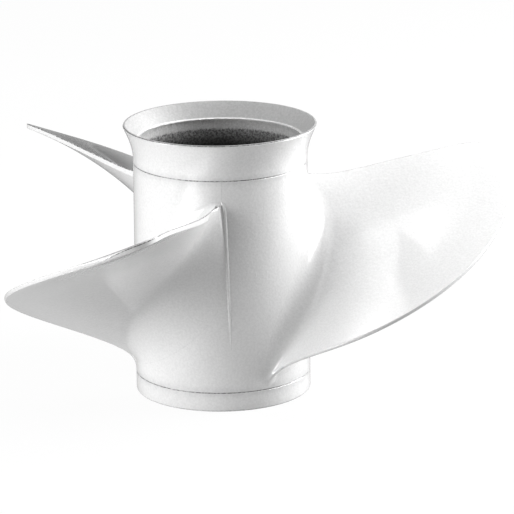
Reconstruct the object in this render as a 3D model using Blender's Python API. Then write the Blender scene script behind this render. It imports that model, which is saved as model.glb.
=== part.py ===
"""Three-blade propeller of an outboard motor, with its exhaust led out through the hub.

It stands on the front end of its hub, with the flared rear end up. Metres, +Z along the shaft axis
towards the rear. The origin is the centre of mass, on the shaft axis. Every height called z in this
file is measured up from the front end's face, and the empty that carries the pieces lowers them.

The blades are screw surfaces. At each radius a blade is a section laid along a helix and wrapped on
a cylinder, so a section is drawn flat first: along the helix and square to it.
"""

import math

import bmesh
import bpy
import numpy as np

# Clearance between neighbouring solids
GAP = 0.0003
# Height of the centre of mass over the front face
MASS_CENTRE_HEIGHT = 0.0780
TURNED_STEPS = 96
MERGE_DISTANCE = 0.00001

# Outer tube
FRONT_RADIUS = 0.0547
REAR_RADIUS = 0.0540
TUBE_BORE_RADIUS = 0.0508
COLLAR_HEIGHT = 0.0120
SEAM_HEIGHT = 0.1462
FOOT_ROUND = 0.0012
SEAM_CHAMFER = 0.0004

# Flared ring at the rear
FLARE_START = 0.1497
FLARE_TOP = 0.1688
RIM_HEIGHT = 0.1698
FLARE_RADIUS = 0.0599
FLARE_POWER = 1.65
FLARE_RINGS = 7
LIP_OUTER_RADIUS = 0.0594
LIP_INNER_RADIUS = 0.0585
THROAT_HEIGHT = 0.1599

# Inner hub with its three webs
INNER_HUB_FRONT = 0.0080
INNER_HUB_REAR = 0.1120
INNER_HUB_FRONT_RADIUS = 0.0310
INNER_HUB_REAR_RADIUS = 0.0300
INNER_HUB_BORE_RADIUS = 0.0253
WEB_FRONT = 0.0160
WEB_REAR = 0.1040
WEB_THICKNESS = 0.0070
WEB_END_STEPS = 4

# Rubber bushing and splined sleeve, pressed into the inner hub
BUSHING_FRONT = 0.0130
BUSHING_REAR = 0.1060
BUSHING_RADIUS = 0.0250
BUSHING_BORE_RADIUS = 0.0168
SLEEVE_FRONT = 0.0080
SLEEVE_REAR = 0.1100
SLEEVE_RADIUS = 0.0165
SPLINE_TEETH = 15
SPLINE_ROOT_RADIUS = 0.0132
SPLINE_TIP_RADIUS = 0.0117
SPLINE_ROOT_SHARE = 0.50
SPLINE_TIP_SHARE = 0.36

# Blades, with their laws given at even stations from the hub to the tip
BLADES = 3
TIP_RADIUS = 0.1808
FIRST_BLADE_ANGLE = math.radians(-15.4)
STATIONS = (0.0, 0.25, 0.5, 0.75, 1.0)
HALF_WRAP = np.radians((42.9, 41.5, 45.4, 49.6, 56.4))
SKEW = np.radians((0.0, 0.0, 2.1, 8.4, 23.1))
RAKE_HEIGHT = np.array((0.0765, 0.0855, 0.0933, 0.0992, 0.1024))
PITCH = np.array((0.463, 0.454, 0.448, 0.451, 0.457))
ROOT_THICKNESS = 0.0120
TIP_THICKNESS = 0.0036
LEADING_THICKNESS = 0.0024
# Height of the flat trailing edge, measured along the shaft
TRAILING_DROP = 0.0030
CHORD_POINTS = 25
NOSE_POINTS = 5
LARGEST_NOSE_SHARE = 0.5
OUTER_SECTIONS = 18
LAST_STATION = 0.9992
BLADE_SHARP_DEGREES = 50

# Blade roots, blended into the tube
ROOT_DEPTH = 0.0050
FEATHER = 0.0008
FILLET_EDGE = 0.0030
FRONT_FILLET_WIDTH = 0.0270
FRONT_FILLET_REACH = 0.0170
FRONT_FILLET_LOSS = 0.70
REAR_FILLET_WIDTH = 0.0250
REAR_FILLET_REACH = 0.0250
FILLET_EVENNESS = 4
NOSE_FILLET = 0.0090
FILLET_ZONE = 0.0340
FILLET_SECTIONS = 11
TAPER_FADE = 0.0200

# Line on the tube where the mould parts, which cuts the front blend off behind the trailing edge
PARTING_TOP = 0.1330
PARTING_LEAD = math.radians(4.2)
PARTING_SLANT = math.radians(38)
PARTING_FADE = 0.0120
PARTING_POINTS = 4

# Round between the parting plane and the front face, which fades out over the tube
TOE_LENGTH = 0.0140
TOE_ZONE = 0.0125
TOE_EASE = 0.0040
TOE_FLAT_SHARE = 0.12
TRIAL_POINTS = 200

# Finishes: colour, metallic, roughness
WHITE_PAINT = ("white_paint", (0.86, 0.86, 0.85, 1.0), 0.0, 0.28)
SHADED_PAINT = ("inner_paint", (0.55, 0.55, 0.54, 1.0), 0.0, 0.55)
RUBBER = ("black_rubber", (0.03, 0.03, 0.03, 1.0), 0.0, 0.8)
BRONZE = ("bronze", (0.60, 0.42, 0.20, 1.0), 1.0, 0.35)


def clear_scene():
    """Remove every object that the scene holds."""
    for obj in list(bpy.data.objects):
        bpy.data.objects.remove(obj, do_unlink=True)


def finish(name, colour, metallic, roughness):
    """A Principled material."""
    material = bpy.data.materials.new(name)
    material.use_nodes = True
    shader = material.node_tree.nodes["Principled BSDF"]
    shader.inputs["Base Color"].default_value = colour
    shader.inputs["Metallic"].default_value = metallic
    shader.inputs["Roughness"].default_value = roughness
    return material


def add_object(name, mesh, parent, look):
    """An object with its own material, under the empty that carries the propeller."""
    obj = bpy.data.objects.new(name, mesh)
    bpy.context.scene.collection.objects.link(obj)
    obj.parent = parent
    mesh.materials.append(finish(f"{name}_{look[0]}", *look[1:]))
    return obj


def smooth(mesh, degrees=35):
    """Shade a mesh smooth, apart from its sharp edges."""
    mesh.shade_smooth()
    mesh.set_sharp_from_angle(angle=math.radians(degrees))


def turned(name, profile, parent, look, steps=TURNED_STEPS):
    """A ring turned about Z from a closed profile of (radius, z), outer side first and downwards."""
    mesh = bpy.data.meshes.new(name)
    count = len(profile)
    edges = [(i, (i + 1) % count) for i in range(count)]
    mesh.from_pydata([(radius, 0.0, z) for radius, z in profile], edges, [])
    obj = add_object(name, mesh, parent, look)
    screw = obj.modifiers.new("turn", "SCREW")
    screw.steps = steps
    screw.render_steps = steps
    screw.use_merge_vertices = True
    screw.merge_threshold = MERGE_DISTANCE
    screw.use_smooth_shade = True
    return obj


def tube_radius(z):
    """Outer radius of the cast tube, which tapers a little towards the rear."""
    share = (z - COLLAR_HEIGHT) / (SEAM_HEIGHT - COLLAR_HEIGHT)
    return FRONT_RADIUS + (REAR_RADIUS - FRONT_RADIUS) * min(max(share, 0.0), 1.0)


def flare_radius(z):
    """Outer radius of the flared ring."""
    share = max(0.0, (z - FLARE_START) / (FLARE_TOP - FLARE_START))
    return REAR_RADIUS + (FLARE_RADIUS - REAR_RADIUS) * share**FLARE_POWER


def front_collar(parent):
    """The straight band round the front end, which slips over the gearcase."""
    top = COLLAR_HEIGHT - GAP / 2
    round_step = FOOT_ROUND * (1 - math.sqrt(0.5))
    return turned(
        "front_collar",
        [
            (FRONT_RADIUS - SEAM_CHAMFER, top),
            (FRONT_RADIUS, top - SEAM_CHAMFER),
            (FRONT_RADIUS, FOOT_ROUND),
            (FRONT_RADIUS - round_step, round_step),
            (FRONT_RADIUS - FOOT_ROUND, 0.0),
            (TUBE_BORE_RADIUS, 0.0),
            (TUBE_BORE_RADIUS, top),
        ],
        parent,
        WHITE_PAINT,
    )


def hub_barrel(parent):
    """The long middle of the tube, which carries the blades."""
    bottom = COLLAR_HEIGHT + GAP / 2
    top = SEAM_HEIGHT - GAP / 2
    return turned(
        "hub_barrel",
        [
            (REAR_RADIUS - SEAM_CHAMFER, top),
            (REAR_RADIUS, top - SEAM_CHAMFER),
            (FRONT_RADIUS, bottom + SEAM_CHAMFER),
            (FRONT_RADIUS - SEAM_CHAMFER, bottom),
            (TUBE_BORE_RADIUS, bottom),
            (TUBE_BORE_RADIUS, top),
        ],
        parent,
        WHITE_PAINT,
    )


def diffuser_ring(parent):
    """The flared ring at the rear, which keeps the exhaust off the blades."""
    bottom = SEAM_HEIGHT + GAP / 2
    heights = np.linspace(FLARE_TOP, FLARE_START, FLARE_RINGS)
    return turned(
        "diffuser_ring",
        [
            (LIP_INNER_RADIUS, RIM_HEIGHT),
            (LIP_OUTER_RADIUS, RIM_HEIGHT),
            *((flare_radius(z), float(z)) for z in heights),
            (REAR_RADIUS, bottom + SEAM_CHAMFER),
            (REAR_RADIUS - SEAM_CHAMFER, bottom),
            (TUBE_BORE_RADIUS, bottom),
            (TUBE_BORE_RADIUS, THROAT_HEIGHT),
        ],
        parent,
        WHITE_PAINT,
    )


def inner_hub(parent):
    """The inner tube, which holds the rubber bushing on the shaft."""
    return turned(
        "inner_hub",
        [
            (INNER_HUB_REAR_RADIUS, INNER_HUB_REAR),
            (INNER_HUB_FRONT_RADIUS, INNER_HUB_FRONT),
            (INNER_HUB_BORE_RADIUS, INNER_HUB_FRONT),
            (INNER_HUB_BORE_RADIUS, INNER_HUB_REAR),
        ],
        parent,
        SHADED_PAINT,
    )


def rubber_bushing(parent):
    """The rubber that slips when a blade strikes something."""
    return turned(
        "rubber_bushing",
        [
            (BUSHING_RADIUS, BUSHING_REAR),
            (BUSHING_RADIUS, BUSHING_FRONT),
            (BUSHING_BORE_RADIUS, BUSHING_FRONT),
            (BUSHING_BORE_RADIUS, BUSHING_REAR),
        ],
        parent,
        RUBBER,
    )


def prism(bm, outline, bottom, top):
    """A closed prism in bm over a flat outline of (x, y) points."""
    base = bm.faces.new([bm.verts.new((x, y, bottom)) for x, y in outline])
    grown = bmesh.ops.extrude_face_region(bm, geom=[base])
    risen = [item for item in grown["geom"] if isinstance(item, bmesh.types.BMVert)]
    bmesh.ops.translate(bm, verts=risen, vec=(0.0, 0.0, top - bottom))
    bmesh.ops.recalc_face_normals(bm, faces=bm.faces)


def arc(radius, start, end, steps):
    """Points of an arc about the origin, as (x, y)."""
    return [(radius * math.cos(a), radius * math.sin(a)) for a in np.linspace(start, end, steps + 1)]


def web(index, angle, parent):
    """A flat rib between the inner hub and the tube."""
    inner_radius = INNER_HUB_FRONT_RADIUS + GAP
    outer_radius = TUBE_BORE_RADIUS - GAP
    inner_half = math.asin(WEB_THICKNESS / 2 / inner_radius)
    outer_half = math.asin(WEB_THICKNESS / 2 / outer_radius)
    outline = arc(outer_radius, -outer_half, outer_half, WEB_END_STEPS)
    outline += arc(inner_radius, inner_half, -inner_half, WEB_END_STEPS)
    bm = bmesh.new()
    prism(bm, outline, WEB_FRONT, WEB_REAR)
    mesh = bpy.data.meshes.new("web")
    bm.to_mesh(mesh)
    bm.free()
    obj = add_object(f"web_{index}", mesh, parent, SHADED_PAINT)
    obj.rotation_euler.z = angle
    return obj


def spline_outline():
    """The toothed outline of the sleeve's bore."""
    points = []
    tooth = 2 * math.pi / SPLINE_TEETH
    for number in range(SPLINE_TEETH):
        middle = number * tooth
        half_root = tooth * SPLINE_ROOT_SHARE / 2
        half_tip = tooth * SPLINE_TIP_SHARE / 2
        points += arc(SPLINE_ROOT_RADIUS, middle - half_root, middle + half_root, 1)
        points += arc(SPLINE_TIP_RADIUS, middle + tooth / 2 - half_tip, middle + tooth / 2 + half_tip, 1)
    return points


def cutter(name, bm, parent):
    """A helper solid that a Boolean subtracts."""
    mesh = bpy.data.meshes.new(name)
    bm.to_mesh(mesh)
    bm.free()
    obj = bpy.data.objects.new(name, mesh)
    bpy.context.scene.collection.objects.link(obj)
    obj.parent = parent
    obj.hide_render = True
    obj.display_type = "WIRE"
    return obj


def subtract(obj, tool):
    """Cut the tool out of the object."""
    boolean = obj.modifiers.new(f"cut_{tool.name}", "BOOLEAN")
    boolean.operation = "DIFFERENCE"
    boolean.solver = "EXACT"
    boolean.object = tool


def splined_sleeve(parent):
    """The bronze sleeve, whose splines take the propeller shaft."""
    bm = bmesh.new()
    prism(bm, arc(SLEEVE_RADIUS, 0.0, 2 * math.pi, TURNED_STEPS)[:-1], SLEEVE_FRONT, SLEEVE_REAR)
    mesh = bpy.data.meshes.new("splined_sleeve")
    bm.to_mesh(mesh)
    bm.free()
    smooth(mesh)
    obj = add_object("splined_sleeve", mesh, parent, BRONZE)
    bm = bmesh.new()
    prism(bm, spline_outline(), 0.0, RIM_HEIGHT)
    subtract(obj, cutter("spline_cutter", bm, parent))
    return obj


def tube_cutter(parent):
    """The tube with its clearance, as one solid, to trim the blade roots."""
    bottom = tube_radius(COLLAR_HEIGHT) + GAP
    top = tube_radius(SEAM_HEIGHT) + GAP
    bm = bmesh.new()
    prism(bm, arc(1.0, 0.0, 2 * math.pi, TURNED_STEPS)[:-1], -COLLAR_HEIGHT, RIM_HEIGHT)
    for vert in bm.verts:
        radius = bottom if vert.co.z < 0 else top
        vert.co.x *= radius
        vert.co.y *= radius
    return cutter("tube_cutter", bm, parent)


def law(values, station):
    """A smooth curve through a law's values at the stations, read at one station or many."""
    return np.polyval(np.polyfit(STATIONS, values, len(STATIONS) - 1), station)


def fillet_width(width, reach, height):
    """How far a blend stands off the blade at a height over the tube: a quarter ellipse."""
    rise = np.clip(1 - max(height, FEATHER) / reach, 0.0, 1.0)
    return width * (1 - np.sqrt(1 - rise**2))


def root_blend(width, reach, fullness, height):
    """How far a blade's root blend stands off its face, where the blend is this full."""
    return fillet_width(FILLET_EDGE + width * fullness, FILLET_EDGE + reach * fullness, height)


def parting_turn(edge_turn, z, height):
    """The turn of the mould's parting line at z, past a trailing edge, which it meets further out."""
    near = fillet_width(1.0, PARTING_FADE, height)
    return edge_turn + (PARTING_LEAD + PARTING_SLANT * (PARTING_TOP - z)) * near


def blade_faces(share, height, along, square):
    """Points of a section's rear and front face, with its thickness before the blends.

    A share runs along the chord from -1 at the leading edge to 1 at the trailing edge.
    """
    station = min(max(height / (TIP_RADIUS - REAR_RADIUS), 0.0), 1.0)
    half_wrap = math.sqrt(1 - station) * law(HALF_WRAP, station)
    turn = law(SKEW, station) + share * half_wrap
    line = np.stack((turn, law(RAKE_HEIGHT, station) + along[1] / along[0] * turn), axis=1)
    body = ROOT_THICKNESS + (TIP_THICKNESS - ROOT_THICKNESS) * station
    edge = LEADING_THICKNESS + (TRAILING_DROP * square[1] - LEADING_THICKNESS) * (share + 1) / 2
    thickness = edge + (body - edge) * (1 - share**2)
    rear_fullness = 1 - share**FILLET_EVENNESS
    rear = root_blend(REAR_FILLET_WIDTH, REAR_FILLET_REACH, rear_fullness, height)
    lost = FRONT_FILLET_LOSS * np.clip(share, 0.0, None) ** 2
    front_fullness = 1 - ((1 - share) / 2) ** FILLET_EVENNESS - lost
    depth = thickness + root_blend(FRONT_FILLET_WIDTH, FRONT_FILLET_REACH, front_fullness, height)
    return line + rear[:, None] * square, line - depth[:, None] * square, thickness


def blade_section(height):
    """One closed section of a blade, as (radius, turn, z) points this high over the tube.

    The points run from the leading edge along the rear face to the trailing edge, down the parting
    plane, back along the front face, and round the nose.
    """
    radius = REAR_RADIUS + height
    station = min(max(height / (TIP_RADIUS - REAR_RADIUS), 0.0), 1.0)
    slope = math.atan2(law(PITCH, station) / (2 * math.pi), radius)
    along = np.array((math.cos(slope) / radius, math.sin(slope)))
    square = np.array((-math.sin(slope) / radius, math.cos(slope)))
    half_wrap = math.sqrt(1 - station) * law(HALF_WRAP, station)
    edge_turn = law(SKEW, station) + half_wrap

    # The front face ends where it meets the parting plane
    nose = min(LEADING_THICKNESS / 2 * along[0] / half_wrap, LARGEST_NOSE_SHARE)
    trial = np.linspace(-1 + nose, 1.0, TRIAL_POINTS)
    front_face = blade_faces(trial, height, along, square)[1]
    past = front_face[:, 0] - parting_turn(edge_turn, front_face[:, 1], height)
    cut = float(np.interp(0.0, past, trial))

    # Chord stations are closer together near both edges
    evened = (1 - np.cos(np.linspace(0.0, math.pi, CHORD_POINTS))) / 2
    rear_face, _, thickness = blade_faces(-1 + nose + (2 - nose) * evened, height, along, square)
    corner = blade_faces(np.array((cut,)), height, along, square)[1][0]
    toe = np.clip((TOE_ZONE - height) / TOE_EASE, 0.0, 1.0)
    cut -= toe * min(TOE_LENGTH * along[0] / half_wrap, LARGEST_NOSE_SHARE)
    front_face = blade_faces(-1 + nose + (cut + 1 - nose) * evened, height, along, square)[1]

    # The parting plane starts straight, and bends into the front face near the tube
    start_z = rear_face[-1, 1] + (corner[1] - rear_face[-1, 1]) * TOE_FLAT_SHARE
    start = np.array((parting_turn(edge_turn, start_z, height), start_z))
    t = np.linspace(0.0, 1.0, PARTING_POINTS + 1)[:-1, None]
    plane = start * (1 - t) ** 2 + corner * 2 * t * (1 - t) + front_face[-1] * t**2

    # The nose is half an ellipse
    middle = (rear_face[0] + front_face[0]) / 2
    half_depth = (rear_face[0, 1] - front_face[0, 1]) / 2 / square[1]
    reach = thickness[0] / 2 + fillet_width(NOSE_FILLET, NOSE_FILLET, height)
    rounds = np.linspace(-math.pi / 2, math.pi / 2, NOSE_POINTS + 2)[1:-1, None]
    tip = middle + square * half_depth * np.sin(rounds) - along * reach * np.cos(rounds)

    # Nothing reaches below the collar's seam, and the root follows the taper of the tube
    points = np.concatenate((rear_face, plane, front_face[::-1], tip))
    z = np.maximum(points[:, 1], COLLAR_HEIGHT + GAP)
    near = max(0.0, 1 - max(height, 0.0) / TAPER_FADE) ** 2
    taper = np.array([tube_radius(level) - REAR_RADIUS for level in z])
    return np.stack((radius + taper * near, points[:, 0], z), axis=1)


def blade_heights():
    """Heights of the sections over the tube, closest together at the root and at the tip."""
    reach = TIP_RADIUS - REAR_RADIUS
    near = FEATHER + (FILLET_ZONE - FEATHER) * np.linspace(0.0, 1.0, FILLET_SECTIONS) ** 2
    start = math.sqrt(1 - FILLET_ZONE / reach)
    end = math.sqrt(1 - LAST_STATION)
    outer = (1 - np.linspace(start, end, OUTER_SECTIONS + 1)[1:] ** 2) * reach
    return (-ROOT_DEPTH, *near, *outer)


def blade_mesh():
    """The blade's skin through all its sections, closed at the root and the tip."""
    bm = bmesh.new()
    loops = []
    for height in blade_heights():
        loops.append([
            bm.verts.new((radius * math.cos(turn), radius * math.sin(turn), z))
            for radius, turn, z in blade_section(height)
        ])
    for lower, upper in zip(loops, loops[1:]):
        for i in range(len(lower)):
            j = (i + 1) % len(lower)
            bm.faces.new((lower[i], lower[j], upper[j], upper[i]))
    for loop in (loops[0], loops[-1]):
        close_section(bm, loop)
    bmesh.ops.remove_doubles(bm, verts=bm.verts, dist=MERGE_DISTANCE)
    bmesh.ops.recalc_face_normals(bm, faces=bm.faces)
    mesh = bpy.data.meshes.new("blade")
    bm.to_mesh(mesh)
    bm.free()
    smooth(mesh, BLADE_SHARP_DEGREES)
    return mesh


def close_section(bm, loop):
    """Fill a section with strips between its two faces, and fill its two ends."""
    rear = loop[:CHORD_POINTS]
    plane = loop[CHORD_POINTS : CHORD_POINTS + PARTING_POINTS]
    front = loop[CHORD_POINTS + PARTING_POINTS : 2 * CHORD_POINTS + PARTING_POINTS][::-1]
    nose = loop[2 * CHORD_POINTS + PARTING_POINTS :]
    for i in range(CHORD_POINTS - 2):
        bm.faces.new((rear[i], rear[i + 1], front[i + 1], front[i]))
    bm.faces.new((rear[-2], rear[-1], *plane, front[-1], front[-2]))
    bm.faces.new((rear[0], front[0], *nose))


def build():
    """The whole propeller."""
    clear_scene()
    frame = bpy.data.objects.new("propeller_frame", None)
    bpy.context.scene.collection.objects.link(frame)
    frame.location.z = -MASS_CENTRE_HEIGHT
    front_collar(frame)
    hub_barrel(frame)
    diffuser_ring(frame)
    inner_hub(frame)
    rubber_bushing(frame)
    splined_sleeve(frame)
    root_trim = tube_cutter(frame)
    for number in range(BLADES):
        angle = FIRST_BLADE_ANGLE + number * 2 * math.pi / BLADES
        web(number + 1, angle, frame)
        blade = add_object(f"blade_{number + 1}", blade_mesh(), frame, WHITE_PAINT)
        blade.rotation_euler.z = angle
        subtract(blade, root_trim)


build()
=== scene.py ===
"""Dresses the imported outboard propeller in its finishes, and lights it in a pale studio.

Lengths are metres and angles radians, unless a name says degrees. A height named z is measured up
from the propeller's front face, as on a works drawing, and LEVEL moves it into the frame's own
heights. Blades, webs and parting ridges are drawn unrolled, as (arc on the tube, radius, z), and a
node tree rolls them on to the shaft.
"""

import logging
import math
from dataclasses import dataclass, field
from enum import Enum
from typing import ClassVar

import bmesh
import bpy
import numpy as np
from mathutils import Matrix, Vector


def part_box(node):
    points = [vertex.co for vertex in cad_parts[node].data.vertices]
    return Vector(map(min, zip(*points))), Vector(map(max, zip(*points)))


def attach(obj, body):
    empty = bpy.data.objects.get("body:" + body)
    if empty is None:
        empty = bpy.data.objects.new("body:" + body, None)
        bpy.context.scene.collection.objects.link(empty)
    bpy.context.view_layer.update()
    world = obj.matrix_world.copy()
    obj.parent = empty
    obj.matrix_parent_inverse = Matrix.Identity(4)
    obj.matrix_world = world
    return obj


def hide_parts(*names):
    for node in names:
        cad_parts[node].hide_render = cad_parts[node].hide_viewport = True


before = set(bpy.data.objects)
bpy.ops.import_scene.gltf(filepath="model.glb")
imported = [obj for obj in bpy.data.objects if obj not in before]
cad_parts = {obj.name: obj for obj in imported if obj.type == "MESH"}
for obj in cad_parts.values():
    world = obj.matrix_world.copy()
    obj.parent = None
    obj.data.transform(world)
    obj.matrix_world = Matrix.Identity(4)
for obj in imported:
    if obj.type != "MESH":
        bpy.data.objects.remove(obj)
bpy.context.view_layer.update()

LOG = logging.getLogger("propeller")
TAU = 2 * math.pi
BODY = "root"

# The front face stands on the floor, and heights z are counted from it
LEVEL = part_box("front_collar")[0].z
# Unrolled drawings measure their arcs on a cylinder of this radius
ARC_RADIUS = 0.0540
# How far an edge turns before it is shaded sharp
SHARP_ANGLE = math.radians(40)

BLADES = 3
FIRST_BLADE_DEGREES = -15.4

# What can feed a node's input: another node's output, or a constant
Feed = bpy.types.NodeSocket | bpy.types.Material | float | int | bool | str | tuple
Colour = tuple[float, float, float]


class Slot(Enum):
    """Material slots of the record."""

    WHITE_PAINT = "white_paint"
    INNER_PAINT = "inner_paint"
    BLACK_RUBBER = "black_rubber"
    BRONZE = "bronze"


class TreeKind(Enum):
    """Kinds of node tree."""

    GEOMETRY = "GeometryNodeTree"
    SHADER = "ShaderNodeTree"


class SocketKind(Enum):
    """Kinds of node group socket."""

    GEOMETRY = "NodeSocketGeometry"
    FLOAT = "NodeSocketFloat"
    INTEGER = "NodeSocketInt"
    COLOUR = "NodeSocketColor"
    MATERIAL = "NodeSocketMaterial"

    @classmethod
    def holding(cls, number: float | int) -> "SocketKind":
        """The kind that holds such a number."""
        return cls.INTEGER if isinstance(number, int) else cls.FLOAT


@dataclass
class Graph:
    """A node tree under construction.

    Attributes:
        tree: The node tree that every call adds to.
    """

    tree: bpy.types.NodeTree

    def feed(self, socket: bpy.types.NodeSocket, value: Feed) -> None:
        """Link a socket from another one, or give it a constant.

        Args:
            socket: The input to feed.
            value: Another node's output, or the constant.
        """
        if isinstance(value, bpy.types.NodeSocket):
            self.tree.links.new(value, socket)
        else:
            socket.default_value = value

    def add(
        self, kind: str, inputs: dict[str | int, Feed] | None = None, **settings: object
    ) -> bpy.types.Node:
        """Add a node and feed it.

        Args:
            kind: The node's type name.
            inputs: What feeds each input, by the input's name or number.
            settings: Properties to set on the node first.

        Returns:
            The new node.
        """
        node = self.tree.nodes.new(kind)
        for name, value in settings.items():
            setattr(node, name, value)
        for name, value in (inputs or {}).items():
            self.feed(node.inputs[name], value)
        return node

    def math(self, operation: str, *values: Feed, clamp: bool = False) -> bpy.types.NodeSocket:
        """Add a Math node.

        Args:
            operation: What it does, as Blender names it.
            values: Its operands, in order.
            clamp: Whether the result is kept between 0 and 1.

        Returns:
            Its result.
        """
        inputs = dict(enumerate(values))
        return self.add("ShaderNodeMath", inputs, operation=operation, use_clamp=clamp).outputs[0]

    def ramp(
        self, value: Feed, low: Feed, high: Feed, start: float = 0.0, end: float = 1.0
    ) -> bpy.types.NodeSocket:
        """Add a smooth clamped step from one level to another.

        Args:
            value: What is stepped.
            low: Where the step begins.
            high: Where the step ends.
            start: The level before the step.
            end: The level after the step.

        Returns:
            The stepped value.
        """
        inputs = {"Value": value, "From Min": low, "From Max": high, "To Min": start, "To Max": end}
        return self.add("ShaderNodeMapRange", inputs, interpolation_type="SMOOTHSTEP").outputs["Result"]

    def blend(self, share: Feed, first: Feed, second: Feed) -> bpy.types.NodeSocket:
        """Add a colour mix.

        Args:
            share: How much of the second colour shows.
            first: The colour at share 0.
            second: The colour at share 1.

        Returns:
            The mixed colour.
        """
        node = self.add("ShaderNodeMix", data_type="RGBA")
        for name, value in (("Factor_Float", share), ("A_Color", first), ("B_Color", second)):
            socket = next(item for item in node.inputs if item.identifier == name)
            self.feed(socket, value)
        return next(item for item in node.outputs if item.identifier == "Result_Color")

    def scaled(self, vector: Feed, factor: Feed) -> bpy.types.NodeSocket:
        """A vector or a colour times a number."""
        return self.add("ShaderNodeVectorMath", {0: vector, "Scale": factor}, operation="SCALE").outputs[0]

    def held(self, name: str) -> bpy.types.NodeSocket:
        """What a named attribute of the geometry holds."""
        return self.add("GeometryNodeInputNamedAttribute", {"Name": name}, data_type="FLOAT").outputs[0]

    def off_axis(self) -> tuple[bpy.types.NodeSocket, bpy.types.NodeSocket, bpy.types.NodeSocket]:
        """Read where the surface lies on the object.

        Returns:
            Its Object coordinates, its distance from the shaft axis, and its height.
        """
        place = self.add("ShaderNodeTexCoord").outputs["Object"]
        parts = self.add("ShaderNodeSeparateXYZ", {0: place}).outputs
        flat = self.add("ShaderNodeCombineXYZ", {"X": parts["X"], "Y": parts["Y"]}).outputs[0]
        radius = self.add("ShaderNodeVectorMath", {0: flat}, operation="LENGTH").outputs["Value"]
        return place, radius, parts["Z"]


@dataclass
class Group(Graph):
    """A node group with named inputs and outputs.

    Attributes:
        enter: The node that gives the inputs.
        leave: The node that takes the outputs.
    """

    enter: bpy.types.Node
    leave: bpy.types.Node

    @classmethod
    def open(
        cls,
        name: str,
        kind: TreeKind,
        inputs: dict[str, SocketKind | float | int],
        outputs: dict[str, SocketKind],
    ) -> "Group":
        """Start a group.

        Args:
            name: The group's name.
            kind: What kind of tree it is.
            inputs: Each input's default number, or its kind if it has none, by its name.
            outputs: Each output's kind, by its name.

        Returns:
            The group, ready for its nodes.
        """
        tree = bpy.data.node_groups.new(name, kind.value)
        for label, given in inputs.items():
            kept = given if isinstance(given, SocketKind) else SocketKind.holding(given)
            socket = tree.interface.new_socket(name=label, in_out="INPUT", socket_type=kept.value)
            if kept is not given:
                socket.default_value = given
        for label, kept in outputs.items():
            tree.interface.new_socket(name=label, in_out="OUTPUT", socket_type=kept.value)
        return cls(tree, tree.nodes.new("NodeGroupInput"), tree.nodes.new("NodeGroupOutput"))

    def take(self, name: str) -> bpy.types.NodeSocket:
        """The group's input of that name."""
        return self.enter.outputs[name]

    def give(self, name: str, value: Feed) -> None:
        """Feed the group's output of that name."""
        self.feed(self.leave.inputs[name], value)


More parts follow.
